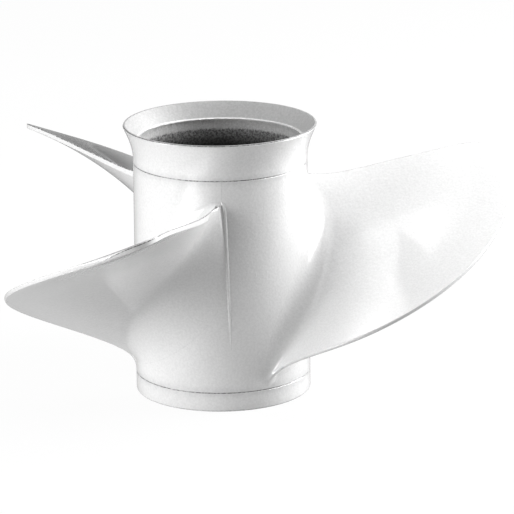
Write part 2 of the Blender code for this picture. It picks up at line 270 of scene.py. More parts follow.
class Trees:
    """The geometry trees that shape pieces which repeat or follow a rule."""

    GEOMETRY: ClassVar[dict[str, SocketKind]] = {"Geometry": SocketKind.GEOMETRY}
    PLACING: ClassVar[dict[str, SocketKind | float | int]] = {
        "Arc Radius": ARC_RADIUS,
        "Turn": 0.0,
        "Level": 0.0,
        "Copies": 1,
        "Material": SocketKind.MATERIAL,
    }

    def __init__(self) -> None:
        """Build each tree once."""
        self.roll = self.roll_on_shaft()
        self.ridge = self.parting_ridge()
        self.splines = self.broached_splines()
        self.ragged = self.ragged_edge()

    def dressed(self, group: Group, geometry: Feed) -> None:
        """End a tree: real geometry, with its material.

        Args:
            group: The tree.
            geometry: What it has made.
        """
        real = group.add("GeometryNodeRealizeInstances", {"Geometry": geometry})
        finish = {"Geometry": real.outputs[0], "Material": group.take("Material")}
        group.give("Geometry", group.add("GeometryNodeSetMaterial", finish).outputs[0])

    def roll_on_shaft(self) -> bpy.types.NodeTree:
        """Roll an unrolled drawing on to the shaft, and repeat it evenly round it.

        Returns:
            The tree.
        """
        inputs = {**self.GEOMETRY, **self.PLACING}
        group = Group.open("roll_on_shaft", TreeKind.GEOMETRY, inputs, self.GEOMETRY)
        position = group.add("GeometryNodeInputPosition").outputs[0]
        parts = group.add("ShaderNodeSeparateXYZ", {0: position}).outputs
        arc = group.math("DIVIDE", parts["X"], group.take("Arc Radius"))
        turn = group.math("ADD", arc, group.take("Turn"))
        rolled = {
            "X": group.math("MULTIPLY", parts["Y"], group.math("COSINE", turn)),
            "Y": group.math("MULTIPLY", parts["Y"], group.math("SINE", turn)),
            "Z": group.math("ADD", parts["Z"], group.take("Level")),
        }
        rolled_to = group.add("ShaderNodeCombineXYZ", rolled).outputs[0]
        drawn = {"Geometry": group.take("Geometry"), "Position": rolled_to}
        bent = group.add("GeometryNodeSetPosition", drawn)
        # Rolling mirrors the drawing, so this turns its faces outwards again
        outward = group.add("GeometryNodeFlipFaces", {"Mesh": bent.outputs[0]})

        points = group.add("GeometryNodePoints", {"Count": group.take("Copies")})
        index = group.add("GeometryNodeInputIndex").outputs[0]
        step = group.math("DIVIDE", TAU, group.take("Copies"))
        spin = group.add("ShaderNodeCombineXYZ", {"Z": group.math("MULTIPLY", index, step)}).outputs[0]
        rotation = group.add("FunctionNodeEulerToRotation", {0: spin}).outputs[0]
        spread = {"Points": points.outputs[0], "Instance": outward.outputs[0], "Rotation": rotation}
        copies = group.add("GeometryNodeInstanceOnPoints", spread)
        self.dressed(group, copies.outputs[0])
        return group.tree

    def parting_ridge(self) -> bpy.types.NodeTree:
        """Sweep the low ridge that the mould leaves along its parting line, then roll it.

        Returns:
            The tree.
        """
        sizes = {"Ridge Radius": 0.0003, "Foot Shade Height": 0.0003, "Sides": 8}
        inputs = {**self.GEOMETRY, **sizes, **self.PLACING}
        group = Group.open("parting_ridge", TreeKind.GEOMETRY, inputs, self.GEOMETRY)
        path = group.add("GeometryNodeMeshToCurve", {"Mesh": group.take("Geometry")})
        fullness = {"Curve": path.outputs[0], "Radius": group.held("fullness")}
        shaped = group.add("GeometryNodeSetCurveRadius", fullness)
        round_section = {"Resolution": group.take("Sides"), "Radius": group.take("Ridge Radius")}
        circle = group.add("GeometryNodeCurvePrimitiveCircle", round_section)
        sweep = {
            "Curve": shaped.outputs[0],
            "Profile Curve": circle.outputs[0],
            "Scale": group.add("GeometryNodeInputRadius").outputs[0],
            "Fill Caps": True,
        }
        swept = group.add("GeometryNodeCurveToMesh", sweep)
        # Painted shade: the ridge's foot is darkened, from the tube up to a set height
        position = group.add("GeometryNodeInputPosition").outputs[0]
        here = group.add("ShaderNodeSeparateXYZ", {0: position}).outputs["Y"]
        rise = group.math("SUBTRACT", here, group.held("tube_level"))
        low = group.ramp(rise, 0.0, group.take("Foot Shade Height"), 1.0, 0.0)
        dirt_and_shade = {
            "Geometry": swept.outputs[0],
            "Name": "grime_and_shade",
            "Value": group.math("MULTIPLY", low, group.held("foot_shade_share")),
        }
        marked = group.add("GeometryNodeStoreNamedAttribute", dirt_and_shade, data_type="FLOAT", domain="POINT")
        placing = {name: group.take(name) for name in self.PLACING}
        placing["Geometry"] = marked.outputs[0]
        rolled = group.add("GeometryNodeGroup", placing, node_tree=self.roll)
        self.dressed(group, rolled.outputs[0])
        return group.tree

    def broached_splines(self) -> bpy.types.NodeTree:
        """Raise evenly spaced teeth from a bore, where the attribute named toothed says so.

        Returns:
            The tree.
        """
        sizes = {"Teeth": 15, "Tooth Height": 0.0015, "Flank Steepness": 2.5}
        inputs = {**self.GEOMETRY, **sizes, "Material": SocketKind.MATERIAL}
        group = Group.open("broached_splines", TreeKind.GEOMETRY, inputs, self.GEOMETRY)
        position = group.add("GeometryNodeInputPosition").outputs[0]
        parts = group.add("ShaderNodeSeparateXYZ", {0: position}).outputs
        turn = group.math("ARCTAN2", parts["Y"], parts["X"])
        wave = group.math("COSINE", group.math("MULTIPLY", turn, group.take("Teeth")))
        flank = group.math("MULTIPLY", wave, group.take("Flank Steepness"))
        tooth = group.math("MULTIPLY_ADD", flank, 0.5, 0.5, clamp=True)
        rise = group.math("MULTIPLY", tooth, group.held("toothed"))
        inward = group.math("MULTIPLY", rise, group.math("MULTIPLY", group.take("Tooth Height"), -1.0))
        radial = {
            "X": group.math("MULTIPLY", group.math("COSINE", turn), inward),
            "Y": group.math("MULTIPLY", group.math("SINE", turn), inward),
        }
        offset = group.add("ShaderNodeCombineXYZ", radial).outputs[0]
        raised = {"Geometry": group.take("Geometry"), "Offset": offset}
        self.dressed(group, group.add("GeometryNodeSetPosition", raised).outputs[0])
        return group.tree

    def ragged_edge(self) -> bpy.types.NodeTree:
        """Roughen a machined edge, where the attribute named ragged says so.

        Returns:
            The tree.
        """
        sizes = {"Depth": 0.0004, "Grain": 500.0, "Seed": 3.0}
        inputs = {**self.GEOMETRY, **sizes, "Material": SocketKind.MATERIAL}
        group = Group.open("ragged_edge", TreeKind.GEOMETRY, inputs, self.GEOMETRY)
        seeded = {"Scale": group.take("Grain"), "W": group.take("Seed"), "Detail": 2.0}
        noise = group.add("ShaderNodeTexNoise", seeded, noise_dimensions="4D")
        swing = group.math("SUBTRACT", noise.outputs[0], 0.5)
        depth = group.math("MULTIPLY", swing, group.take("Depth"))
        lift = group.math("MULTIPLY", depth, group.held("ragged"))
        offset = group.add("ShaderNodeCombineXYZ", {"Z": lift}).outputs[0]
        shifted = {"Geometry": group.take("Geometry"), "Offset": offset}
        self.dressed(group, group.add("GeometryNodeSetPosition", shifted).outputs[0])
        return group.tree


def set_up(name: str, data: bpy.types.ID) -> bpy.types.Object:
    """Put a new object in the scene.

    Args:
        name: Its name.
        data: Its mesh, light or camera.

    Returns:
        The object.
    """
    made = bpy.data.objects.new(name, data)
    bpy.context.scene.collection.objects.link(made)
    return made


def mark(mesh: bpy.types.Mesh, name: str, values: np.ndarray) -> None:
    """Keep a number for each point of a mesh, as a named attribute.

    Args:
        mesh: The mesh.
        name: The attribute's name.
        values: The numbers, in the order of the points.
    """
    layer = mesh.attributes.new(name, "FLOAT", "POINT")
    layer.data.foreach_set("value", values.astype(np.float32).ravel())


def grown(
    name: str, draft: bpy.types.Mesh, tree: bpy.types.NodeTree, values: dict[str, object]
) -> bpy.types.Mesh:
    """Run a geometry tree on a draft mesh and keep what it makes as a plain mesh.

    Args:
        name: The new mesh's name.
        draft: What the tree starts from.
        tree: The tree.
        values: The tree's inputs, by name.

    Returns:
        The mesh.
    """
    carrier = set_up(f"{name}_draft", draft)
    modifier = carrier.modifiers.new(tree.name, "NODES")
    modifier.node_group = tree
    for item in tree.interface.items_tree:
        if item.in_out == "INPUT" and item.name in values:
            modifier[item.identifier] = values[item.name]
    graph = bpy.context.evaluated_depsgraph_get()
    mesh = bpy.data.meshes.new_from_object(carrier.evaluated_get(graph))
    carrier.modifiers.remove(modifier)
    bpy.data.objects.remove(carrier)
    mesh.name = name
    return mesh


def place(name: str, mesh: bpy.types.Mesh, slot: Slot, *nodes: str) -> bpy.types.Object:
    """Add a finished piece, which rides on the one body and stands for its nodes of the frame.

    Args:
        name: The piece's name.
        mesh: Its mesh, in place, with its material.
        slot: The record's slot for its finish; not used.
        nodes: The nodes that it stands for.

    Returns:
        The piece.
    """
    mesh.shade_smooth()
    mesh.set_sharp_from_angle(angle=SHARP_ANGLE)
    piece = set_up(name, mesh)
    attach(piece, BODY)
    if nodes:
        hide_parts(*nodes)
    return piece


@dataclass(frozen=True)
class Corner:
    """A corner of a turned profile.

    Attributes:
        radius: Its distance from the shaft axis.
        z: Its height over the front face.
        round: The radius that rounds it.
        mark: What the named attribute holds on its ring.
        grime_and_shade: How much grime at a seam, and painted shade in a crease or along an edge, shows
            there, from 0 to 1.
    """

    radius: float
    z: float
    round: float = 0.0
    mark: float = 0.0
    grime_and_shade: float = 0.0


@dataclass(frozen=True)
class Turned:
    """A closed ring turned about the shaft axis.

    Attributes:
        corners: Its profile, outer side first and downwards.
        steps: How many flats stand for a full turn.
        longest: The longest face along the profile.
        attribute: The name under which the corners' marks are kept, if any.
        ROUND_STEPS: How many chords stand for a rounded corner.
    """

    corners: tuple[Corner, ...]
    steps: int = 288
    longest: float = 0.004
    attribute: str = ""
    ROUND_STEPS: ClassVar[int] = 5

    def outline(self) -> list[Corner]:
        """The profile with its corners rounded and its long sides divided.

        Returns:
            The points of the profile.
        """
        soft: list[Corner] = []
        count = len(self.corners)
        for i, corner in enumerate(self.corners):
            if not corner.round:
                soft.append(corner)
                continue
            here = Vector((corner.radius, corner.z))
            before, after = self.corners[i - 1], self.corners[(i + 1) % count]
            back = (Vector((before.radius, before.z)) - here).normalized()
            ahead = (Vector((after.radius, after.z)) - here).normalized()
            half = back.angle(ahead) / 2
            reach = corner.round / math.tan(half)
            centre = here + (back + ahead).normalized() * (corner.round / math.sin(half))
            first, last = here + back * reach - centre, here + ahead * reach - centre
            swing = first.angle_signed(last)
            for k in range(self.ROUND_STEPS + 1):
                arm = first.copy()
                arm.rotate(Matrix.Rotation(-swing * k / self.ROUND_STEPS, 2))
                spot = centre + arm
                held = corner.grime_and_shade * (k + 1) / (self.ROUND_STEPS + 1)
                soft.append(Corner(spot.x, spot.y, mark=corner.mark, grime_and_shade=held))
        points: list[Corner] = []
        for i, start in enumerate(soft):
            end = soft[(i + 1) % len(soft)]
            length = math.hypot(end.radius - start.radius, end.z - start.z)
            parts = max(1, math.ceil(length / self.longest))
            for k in range(parts):
                share = k / parts
                points.append(
                    Corner(
                        start.radius + (end.radius - start.radius) * share,
                        start.z + (end.z - start.z) * share,
                        mark=start.mark + (end.mark - start.mark) * share,
                        grime_and_shade=start.grime_and_shade + (end.grime_and_shade - start.grime_and_shade) * share,
                    )
                )
        return points

    def mesh(self, name: str, material: bpy.types.Material) -> bpy.types.Mesh:
        """Turn the profile.

        Args:
            name: The mesh's name.
            material: Its finish.

        Returns:
            The mesh, in place.
        """
        outline = self.outline()
        turns = np.linspace(0.0, TAU, self.steps, endpoint=False)
        radii = np.array([point.radius for point in outline])
        heights = np.array([point.z for point in outline]) + LEVEL
        points = np.empty((self.steps, len(outline), 3))
        points[..., 0] = np.cos(turns)[:, None] * radii
        points[..., 1] = np.sin(turns)[:, None] * radii
        points[..., 2] = heights
        made = lofted(name, points, closed=True)
        mark(made, "grime_and_shade", np.tile([point.grime_and_shade for point in outline], self.steps))
        if self.attribute:
            mark(made, self.attribute, np.tile([point.mark for point in outline], self.steps))
        made.materials.append(material)
        return made


def lofted(name: str, loops: np.ndarray, closed: bool) -> bpy.types.Mesh:
    """Skin a row of closed loops that have as many points each.

    Args:
        name: The mesh's name.
        loops: The points, by loop and then by place on the loop.
        closed: Whether the last loop joins the first. If not, both end loops are filled, with
            strips from each point to the one opposite.

    Returns:
        The mesh, with its faces outwards.
    """
    rows, width = loops.shape[:2]
    index = np.arange(rows * width).reshape(rows, width)
    following = np.roll(index, -1, axis=0) if closed else index[1:]
    present = index if closed else index[:-1]
    around = np.roll(np.arange(width), -1)
    quads = np.stack((present, present[:, around], following[:, around], following), axis=-1)
    faces = quads.reshape(-1, 4).tolist()
    if not closed:
        for row in (0, rows - 1):
            for i in range(width // 2 - 1):
                strip = (i, i + 1, width - 2 - i, width - 1 - i)
                faces.append([int(index[row, k]) for k in strip])
    mesh = bpy.data.meshes.new(name)
    mesh.from_pydata(loops.reshape(-1, 3).tolist(), [], faces)
    bm = bmesh.new()
    bm.from_mesh(mesh)
    bmesh.ops.recalc_face_normals(bm, faces=bm.faces)
    bm.to_mesh(mesh)
    bm.free()
    return mesh


class Effects:
    """The surface effects that several finishes share, each a shader group built once.

    Attributes:
        PIT_SCALE: How many pits there are for each grain of a casting's skin.
        PIT_REACH: How far a pit reaches, in its own cell.
        PIT_SHARE: How deep a pit is, beside the grains' height.
        GRAIN_SPAN: The noise values that count as the lowest and the highest grain.
        SWELL_SCALE: How many slow waves there are for each ripple of the paint.
        CLOUD_SPAN: The noise values where one tone turns into the other.
        WEAR_NOISE: How much a noise breaks up the worn edges.
        SPRAY_SPOTS: Spots of paint per metre at the edge of the spray.
        SPRAY_DRIFT: How far those spots stray along the shaft.
        LINING_EASE: Where the inner cone begins over the throat, and where it is full.
        DEEP_SHADE_SPAN: Where the painted shade deep in the bore is darkest and where it ends, beside the
            edge of the spray.
        GAP_SPAN: The noise values where grime and painted shade are broken up most and least.
        GRIME_AND_SHADE_SPAN: The marks at which grime and painted shade begin and are full.
    """

    PIT_SCALE: ClassVar[float] = 0.45
    PIT_REACH: ClassVar[float] = 0.35
    PIT_SHARE: ClassVar[float] = 0.6
    GRAIN_SPAN: ClassVar[tuple[float, float]] = (0.32, 0.68)
    SWELL_SCALE: ClassVar[float] = 0.12
    CLOUD_SPAN: ClassVar[tuple[float, float]] = (0.3, 0.7)
    WEAR_NOISE: ClassVar[float] = 0.06
    SPRAY_SPOTS: ClassVar[float] = 900.0
    SPRAY_DRIFT: ClassVar[float] = 0.0015
    LINING_EASE: ClassVar[tuple[float, float]] = (0.0009, 0.0014)
    DEEP_SHADE_SPAN: ClassVar[tuple[float, float]] = (-0.0120, 0.0020)
    GAP_SPAN: ClassVar[tuple[float, float]] = (0.35, 0.6)
    GRIME_AND_SHADE_SPAN: ClassVar[tuple[float, float]] = (0.1, 0.9)

    def __init__(self) -> None:
        """Build each group."""
        self.grain = self.cast_grain()
        self.peel = self.orange_peel()
        self.cloud = self.mottling()
        self.wear = self.edge_wear()
        self.spray = self.overspray()
        self.dirt_and_shade = self.edge_grime_and_shade()

    @staticmethod
    def use(graph: Graph, tree: bpy.types.NodeTree, **values: Feed) -> bpy.types.NodeOutputs:
        """Place a group in a material.

        Args:
            graph: The material's tree.
            tree: The group.
            values: The group's inputs, by name, with low lines for spaces.

        Returns:
            The group's outputs.
        """
        node = graph.add("ShaderNodeGroup", node_tree=tree)
        for name, value in values.items():
            graph.feed(node.inputs[name.replace("_", " ")], value)
        return node.outputs

    def clouds(self, graph: Graph, size: float, first: Colour, second: Colour) -> bpy.types.NodeOutputs:
        """Place two tones in soft clouds in a material.

        Args:
            graph: The material's tree.
            size: How large the clouds are, in metres.
            first: One tone.
            second: The other.

        Returns:
            The tones, and the mask between them.
        """
        return self.use(graph, self.cloud, Size=size, First=(*first, 1), Second=(*second, 1))

    @staticmethod
    def spot(group: Group, size: Feed) -> bpy.types.NodeSocket:
        """Object coordinates counted in units of a size.

        Args:
            group: The group that needs them.
            size: The unit, in metres.

        Returns:
            The coordinates.
        """
        place = group.add("ShaderNodeTexCoord").outputs["Object"]
        return group.scaled(place, group.math("DIVIDE", 1.0, size))

    def cast_grain(self) -> bpy.types.NodeTree:
        """The skin that sand and shot leave on cast metal, as a height in metres and a pit mask.

        Returns:
            The group.
        """
        outputs = {"Height": SocketKind.FLOAT, "Pits": SocketKind.FLOAT, "Grain": SocketKind.FLOAT}
        group = Group.open("cast_grain", TreeKind.SHADER, {"Size": 0.0012, "Depth": 0.00002}, outputs)
        spot = self.spot(group, group.take("Size"))
        noise = {"Vector": spot, "Scale": 1.0, "Detail": 5.0, "Roughness": 0.6}
        grains = group.add("ShaderNodeTexNoise", noise)
        spread = {"Vector": spot, "Scale": self.PIT_SCALE}
        cells = group.add("ShaderNodeTexVoronoi", spread, feature="SMOOTH_F1")
        pits = group.ramp(cells.outputs["Distance"], 0.0, self.PIT_REACH, 1.0, 0.0)
        rough = group.math("MULTIPLY_ADD", pits, -self.PIT_SHARE, grains.outputs[0])
        group.give("Height", group.math("MULTIPLY", rough, group.take("Depth")))
        group.give("Pits", pits)
        group.give("Grain", group.ramp(grains.outputs[0], *self.GRAIN_SPAN, -1.0, 1.0))
        return group.tree

    def orange_peel(self) -> bpy.types.NodeTree:
        """The soft ripple of sprayed gloss paint, as a height in metres.

        Returns:
            The group.
        """
        inputs = {"Size": 0.0022, "Depth": 0.00001}
        group = Group.open("orange_peel", TreeKind.SHADER, inputs, {"Height": SocketKind.FLOAT})
        spot = self.spot(group, group.take("Size"))
        fine = {"Vector": spot, "Scale": 1.0, "Detail": 1.0, "Distortion": 0.3}
        ripple = group.add("ShaderNodeTexNoise", fine)
        waves = group.add("ShaderNodeTexNoise", {"Vector": spot, "Scale": self.SWELL_SCALE, "Detail": 1.0})
        swell = group.math("ADD", waves.outputs[0], ripple.outputs[0])
        group.give("Height", group.math("MULTIPLY", swell, group.take("Depth")))
        return group.tree

    def mottling(self) -> bpy.types.NodeTree:
        """Two tones in soft clouds.

        Returns:
            The group.
        """
        inputs = {"Size": 0.03, "First": SocketKind.COLOUR, "Second": SocketKind.COLOUR}
        outputs = {"Colour": SocketKind.COLOUR, "Mask": SocketKind.FLOAT}
        group = Group.open("mottling", TreeKind.SHADER, inputs, outputs)
        spot = self.spot(group, group.take("Size"))
        noise = {"Vector": spot, "Scale": 1.0, "Detail": 4.0, "Roughness": 0.55}
        mask = group.ramp(group.add("ShaderNodeTexNoise", noise).outputs[0], *self.CLOUD_SPAN)
        group.give("Colour", group.blend(mask, group.take("First"), group.take("Second")))
        group.give("Mask", mask)
        return group.tree

    def edge_wear(self) -> bpy.types.NodeTree:
        """Where a coat is thin, on edges that stand out, broken up by a fine noise.

        Returns:
            The group.
        """
        inputs = {"Low": 0.53, "High": 0.60, "Size": 0.004}
        group = Group.open("edge_wear", TreeKind.SHADER, inputs, {"Mask": SocketKind.FLOAT})
        sharp = group.add("ShaderNodeNewGeometry").outputs["Pointiness"]
        spot = self.spot(group, group.take("Size"))
        noise = group.add("ShaderNodeTexNoise", {"Vector": spot, "Scale": 1.0, "Detail": 3.0})
        broken = group.math("MULTIPLY_ADD", noise.outputs[0], self.WEAR_NOISE, sharp)
        group.give("Mask", group.ramp(broken, group.take("Low"), group.take("High")))
        return group.tree

    def overspray(self) -> bpy.types.NodeTree:
        """How well sprayed paint covers a bore, which it reaches only near the open rear end; also where
        the flare's inner cone lies, and how far down the bore is darkened as painted shade.

        Returns:
            The group.
        """
        inputs = {
            "Bore": 0.0513,
            "Bare Below": 0.0750,
            "Fade": 0.0012,
            "Thin Cover": 0.5,
            "Full Above": 0.0816,
            "Cone Slope": 0.755,
            "Wall": 0.0012,
        }
        outputs = {"Cover": SocketKind.FLOAT, "Lining": SocketKind.FLOAT, "Depth": SocketKind.FLOAT}
        group = Group.open("overspray", TreeKind.SHADER, inputs, outputs)
        place, radius, height = group.off_axis()
        outside = group.math("GREATER_THAN", radius, group.take("Bore"))
        spots = group.add("ShaderNodeTexNoise", {"Vector": place, "Scale": self.SPRAY_SPOTS, "Detail": 4.0})
        drift = group.math("MULTIPLY_ADD", spots.outputs[0], 2 * self.SPRAY_DRIFT, -self.SPRAY_DRIFT)
        past = group.math("SUBTRACT", group.math("ADD", height, drift), group.take("Bare Below"))
        reach = group.math("DIVIDE", past, group.take("Fade"), clamp=True)
        thin_cover_and_cone_shade = group.math("MULTIPLY", reach, group.take("Thin Cover"))
        rim = group.math("GREATER_THAN", height, group.take("Full Above"))
        past_rim = group.math("SUBTRACT", height, group.take("Full Above"))
        cone = group.math("MULTIPLY_ADD", past_rim, group.take("Cone Slope"), group.take("Bore"))
        wall = group.math("ADD", cone, group.take("Wall"))
        within = group.math("LESS_THAN", radius, wall)
        clear = group.ramp(past_rim, *self.LINING_EASE)
        # The flare's inner cone, which the enamel darkens as painted shade and makes rougher
        group.give("Lining", group.math("MULTIPLY", within, clear))
        # Painted shade: the bore is coloured darker the deeper it lies below the spray's edge
        group.give("Depth", group.ramp(past, *self.DEEP_SHADE_SPAN, 1.0, 0.0))
        group.give("Cover", group.math("MAXIMUM", group.math("MAXIMUM", thin_cover_and_cone_shade, outside), rim))
        return group.tree

    def edge_grime_and_shade(self) -> bpy.types.NodeTree:
        """Grime at seams, and painted shade in creases and along edges, where the mesh's grime and shade
        attribute says so.

        Returns:
            The group.
        """
        inputs = {"Size": 0.006, "Break Up": 0.7}
        group = Group.open("edge_grime_and_shade", TreeKind.SHADER, inputs, {"Mask": SocketKind.FLOAT})
        held = group.add("ShaderNodeAttribute", attribute_name="grime_and_shade").outputs["Fac"]
        spot = self.spot(group, group.take("Size"))
        noise = group.add("ShaderNodeTexNoise", {"Vector": spot, "Detail": 3.0})
        gaps = group.ramp(noise.outputs[0], *self.GAP_SPAN, 1.0, 0.0)
        kept = group.math("SUBTRACT", 1.0, group.math("MULTIPLY", gaps, group.take("Break Up")))
        group.give("Mask", group.math("MULTIPLY", group.ramp(held, *self.GRIME_AND_SHADE_SPAN), kept))
        return group.tree


def new_material(name: str, colour: Colour) -> tuple[bpy.types.Material, Graph, bpy.types.Node]:
    """Start a material.

    Args:
        name: Its name.
        colour: The colour that it shows in a plain viewport.

    Returns:
        The material, its tree, and its Principled shader.
    """
    material = bpy.data.materials.new(name)
    material.use_nodes = True
    material.diffuse_color = (*colour, 1.0)
    return material, Graph(material.node_tree), material.node_tree.nodes["Principled BSDF"]


def raise_surface(graph: Graph, shader: bpy.types.Node, height: Feed) -> None:
    """Let a height in metres bend a shader's normal.

    Args:
        graph: The material's tree.
        shader: Its shader.
        height: The height.
    """
    bump = graph.add("ShaderNodeBump", {"Height": height, "Strength": 1.0, "Distance": 1.0})
    graph.feed(shader.inputs["Normal"], bump.outputs["Normal"])


@dataclass(frozen=True)
class GlossEnamel:
    """White gloss enamel sprayed over a blasted casting, thin in the bore and on sharp edges, with painted
    shade on the flare's inner cone, deeper in the bore, and in creases and along edges.
    """

    name: str = "white_gloss_enamel"
    cloud_size: float = 0.035
    # The coat, its clouds, primer on rubbed edges, the blasted bore, painted shade deeper in the bore, and
    # grime at seams with painted shade in creases and along edges
    colour: Colour = (0.80, 0.80, 0.80)
    shade: Colour = (0.785, 0.785, 0.785)
    primer: Colour = (0.42, 0.42, 0.43)
    bare: Colour = (0.20, 0.20, 0.20)
    deep_shade: Colour = (0.006, 0.006, 0.006)
    dirt_and_shade: Colour = (0.10, 0.10, 0.10)
    # Painted shade on the inner cone, as its tone beside the outside's, and how much rougher it is
    cone_shade: float = 0.53
    lining_dulling: float = 0.22
    # How much the grain varies the tone of the enamel, and of the bore
    speckle: float = 0.045
    bare_speckle: float = 0.65
    # Roughness under the clear coat, what the clouds add to it, and the bore's
    roughness: float = 0.24
    clouding: float = 0.03
    bare_roughness: float = 0.85
    # Weight and roughness of the clear coat
    coat: float = 1.0
    coat_roughness: float = 0.08
    peel_size: float = 0.0022
    peel_depth: float = 0.00011
    grain_size: float = 0.0013
    grain_depth: float = 0.000016
    bare_grain_size: float = 0.0012
    bare_grain_depth: float = 0.00012
    # How much primer shows on worn edges
    edge_share: float = 0.35

    def make(self, effects: Effects) -> bpy.types.Material:
        """Build the material.

        Args:
            effects: The shared surface effects.

        Returns:
            The material.
        """
        material, graph, shader = new_material(self.name, self.colour)
        spray = effects.use(graph, effects.spray)
        cover = spray["Cover"]
        fine = effects.use(graph, effects.grain, Size=self.grain_size, Depth=self.grain_depth)
        coarse = effects.use(graph, effects.grain, Size=self.bare_grain_size, Depth=self.bare_grain_depth)
        enamel = effects.clouds(graph, self.cloud_size, self.colour, self.shade)
        worn = graph.math("MULTIPLY", effects.use(graph, effects.wear)["Mask"], self.edge_share)
        skin = graph.blend(worn, enamel["Colour"], (*self.primer, 1))
        # Painted shade: the inner cone's colour is darkened by this factor
        thin_cover_and_cone_shade = graph.math("MULTIPLY_ADD", spray["Lining"], self.cone_shade - 1, 1.0)
        speckled = graph.math("MULTIPLY_ADD", fine["Grain"], self.speckle, thin_cover_and_cone_shade)
        # Painted shade: the bare bore darkens towards the deep tone further down
        dark_tone = graph.blend(spray["Depth"], (*self.bare, 1), (*self.deep_shade, 1))
        pitted = graph.math("MULTIPLY_ADD", coarse["Grain"], self.bare_speckle, 1.0)
        surface = graph.blend(cover, graph.scaled(dark_tone, pitted), graph.scaled(skin, speckled))
        # Painted shade in creases and along edges, with grime at the seams, darkens the colour here
        dirt_and_shade_mask = effects.use(graph, effects.dirt_and_shade)["Mask"]
        graph.feed(shader.inputs["Base Color"], graph.blend(dirt_and_shade_mask, surface, (*self.dirt_and_shade, 1)))

        uneven = graph.math("MULTIPLY_ADD", enamel["Mask"], self.clouding, self.roughness)
        uneven = graph.math("MULTIPLY_ADD", spray["Lining"], self.lining_dulling, uneven)
        dull = graph.math("SUBTRACT", self.bare_roughness, uneven)
        bare_share = graph.math("SUBTRACT", 1.0, cover)
        graph.feed(shader.inputs["Roughness"], graph.math("MULTIPLY_ADD", dull, bare_share, uneven))
        glossy = graph.math("SUBTRACT", cover, spray["Lining"], clamp=True)
        graph.feed(shader.inputs["Coat Weight"], graph.math("MULTIPLY", glossy, self.coat))
        shader.inputs["Coat Roughness"].default_value = self.coat_roughness

        peel = effects.use(graph, effects.peel, Size=self.peel_size, Depth=self.peel_depth)["Height"]
        painted = graph.math("MULTIPLY", graph.math("ADD", peel, fine["Height"]), cover)
        raise_surface(graph, shader, graph.math("MULTIPLY_ADD", coarse["Height"], bare_share, painted))
        return material


@dataclass(frozen=True)
class PassagePaint:
    """Thin paint on the castings inside the exhaust passage, dulled by soot."""

    name: str = "passage_paint"
    cloud_size: float = 0.018
    grain_size: float = 0.0015
    colour: Colour = (0.24, 0.24, 0.24)
    dark_tone: Colour = (0.06, 0.06, 0.06)
    metal: Colour = (0.50, 0.50, 0.50)
    # Roughness under soot, and how much smoother the clean paint is
    roughness: float = 0.58
    polish: float = 0.14
    # How much soot the pits hold
    pit_dirt: float = 0.5
    grain_depth: float = 0.00012

    def make(self, effects: Effects) -> bpy.types.Material:
        """Build the material.

        Args:
            effects: The shared surface effects.

        Returns:
            The material.
        """
        material, graph, shader = new_material(self.name, self.colour)
        tone = effects.clouds(graph, self.cloud_size, self.dark_tone, self.colour)
        worn = effects.use(graph, effects.wear)["Mask"]
        grain = effects.use(graph, effects.grain, Size=self.grain_size, Depth=self.grain_depth)
        dirt_and_shade = graph.math("MULTIPLY", grain["Pits"], self.pit_dirt)
        dusty = graph.blend(dirt_and_shade, tone["Colour"], (*self.dark_tone, 1))
        graph.feed(shader.inputs["Base Color"], graph.blend(worn, dusty, (*self.metal, 1)))
        polished = graph.math("MULTIPLY_ADD", tone["Mask"], -self.polish, self.roughness)
        graph.feed(shader.inputs["Roughness"], polished)
        raise_surface(graph, shader, grain["Height"])
        return material


@dataclass(frozen=True)
class HubRubber:
    """Black moulded rubber with a bloom on it."""

    name: str = "hub_rubber"
    cloud_size: float = 0.010
    grain_size: float = 0.0007
    colour: Colour = (0.018, 0.018, 0.019)
    bloom: Colour = (0.050, 0.050, 0.052)
    roughness: float = 0.62
    pit_roughness: float = 0.12
    grain_depth: float = 0.00003

    def make(self, effects: Effects) -> bpy.types.Material:
        """Build the material.

        Args:
            effects: The shared surface effects.

        Returns:
            The material.
        """
        material, graph, shader = new_material(self.name, self.colour)
        tone = effects.clouds(graph, self.cloud_size, self.colour, self.bloom)
        grain = effects.use(graph, effects.grain, Size=self.grain_size, Depth=self.grain_depth)
        graph.feed(shader.inputs["Base Color"], tone["Colour"])
        matt = graph.math("MULTIPLY_ADD", grain["Pits"], self.pit_roughness, self.roughness)
        graph.feed(shader.inputs["Roughness"], matt)
        raise_surface(graph, shader, grain["Height"])
        return material


@dataclass(frozen=True)
class TurnedBronze:
    """Machined bronze with fine turning marks and a brown patina."""

    name: str = "turned_bronze"
    cloud_size: float = 0.008
    colour: Colour = (0.58, 0.37, 0.16)
    patina: Colour = (0.30, 0.17, 0.08)
    roughness: float = 0.28
    patina_roughness: float = 0.22
    feed_pitch: float = 0.00035
    mark_depth: float = 0.000006

    def make(self, effects: Effects) -> bpy.types.Material:
        """Build the material.

        Args:
            effects: The shared surface effects.

        Returns:
            The material.
        """
        material, graph, shader = new_material(self.name, self.colour)
        tone = effects.clouds(graph, self.cloud_size, self.colour, self.patina)
        _, radius, height = graph.off_axis()
        phase = graph.math("MULTIPLY", graph.math("ADD", height, radius), TAU / self.feed_pitch)
        marks = graph.math("MULTIPLY", graph.math("SINE", phase), self.mark_depth)
        graph.feed(shader.inputs["Base Color"], tone["Colour"])
        aged = graph.math("MULTIPLY_ADD", tone["Mask"], self.patina_roughness, self.roughness)
        graph.feed(shader.inputs["Roughness"], aged)
        shader.inputs["Metallic"].default_value = 1.0
        raise_surface(graph, shader, marks)
        return material


@dataclass(frozen=True)
class Finishes:
    """The materials of the propeller, made once."""

    enamel: bpy.types.Material
    passage: bpy.types.Material
    rubber: bpy.types.Material
    bronze: bpy.types.Material

    @classmethod
    def make(cls) -> "Finishes":
        """Build every finish.

        Returns:
            The materials.
        """
        effects = Effects()
        return cls(
            GlossEnamel().make(effects),
            PassagePaint().make(effects),
            HubRubber().make(effects),
            TurnedBronze().make(effects),
        )


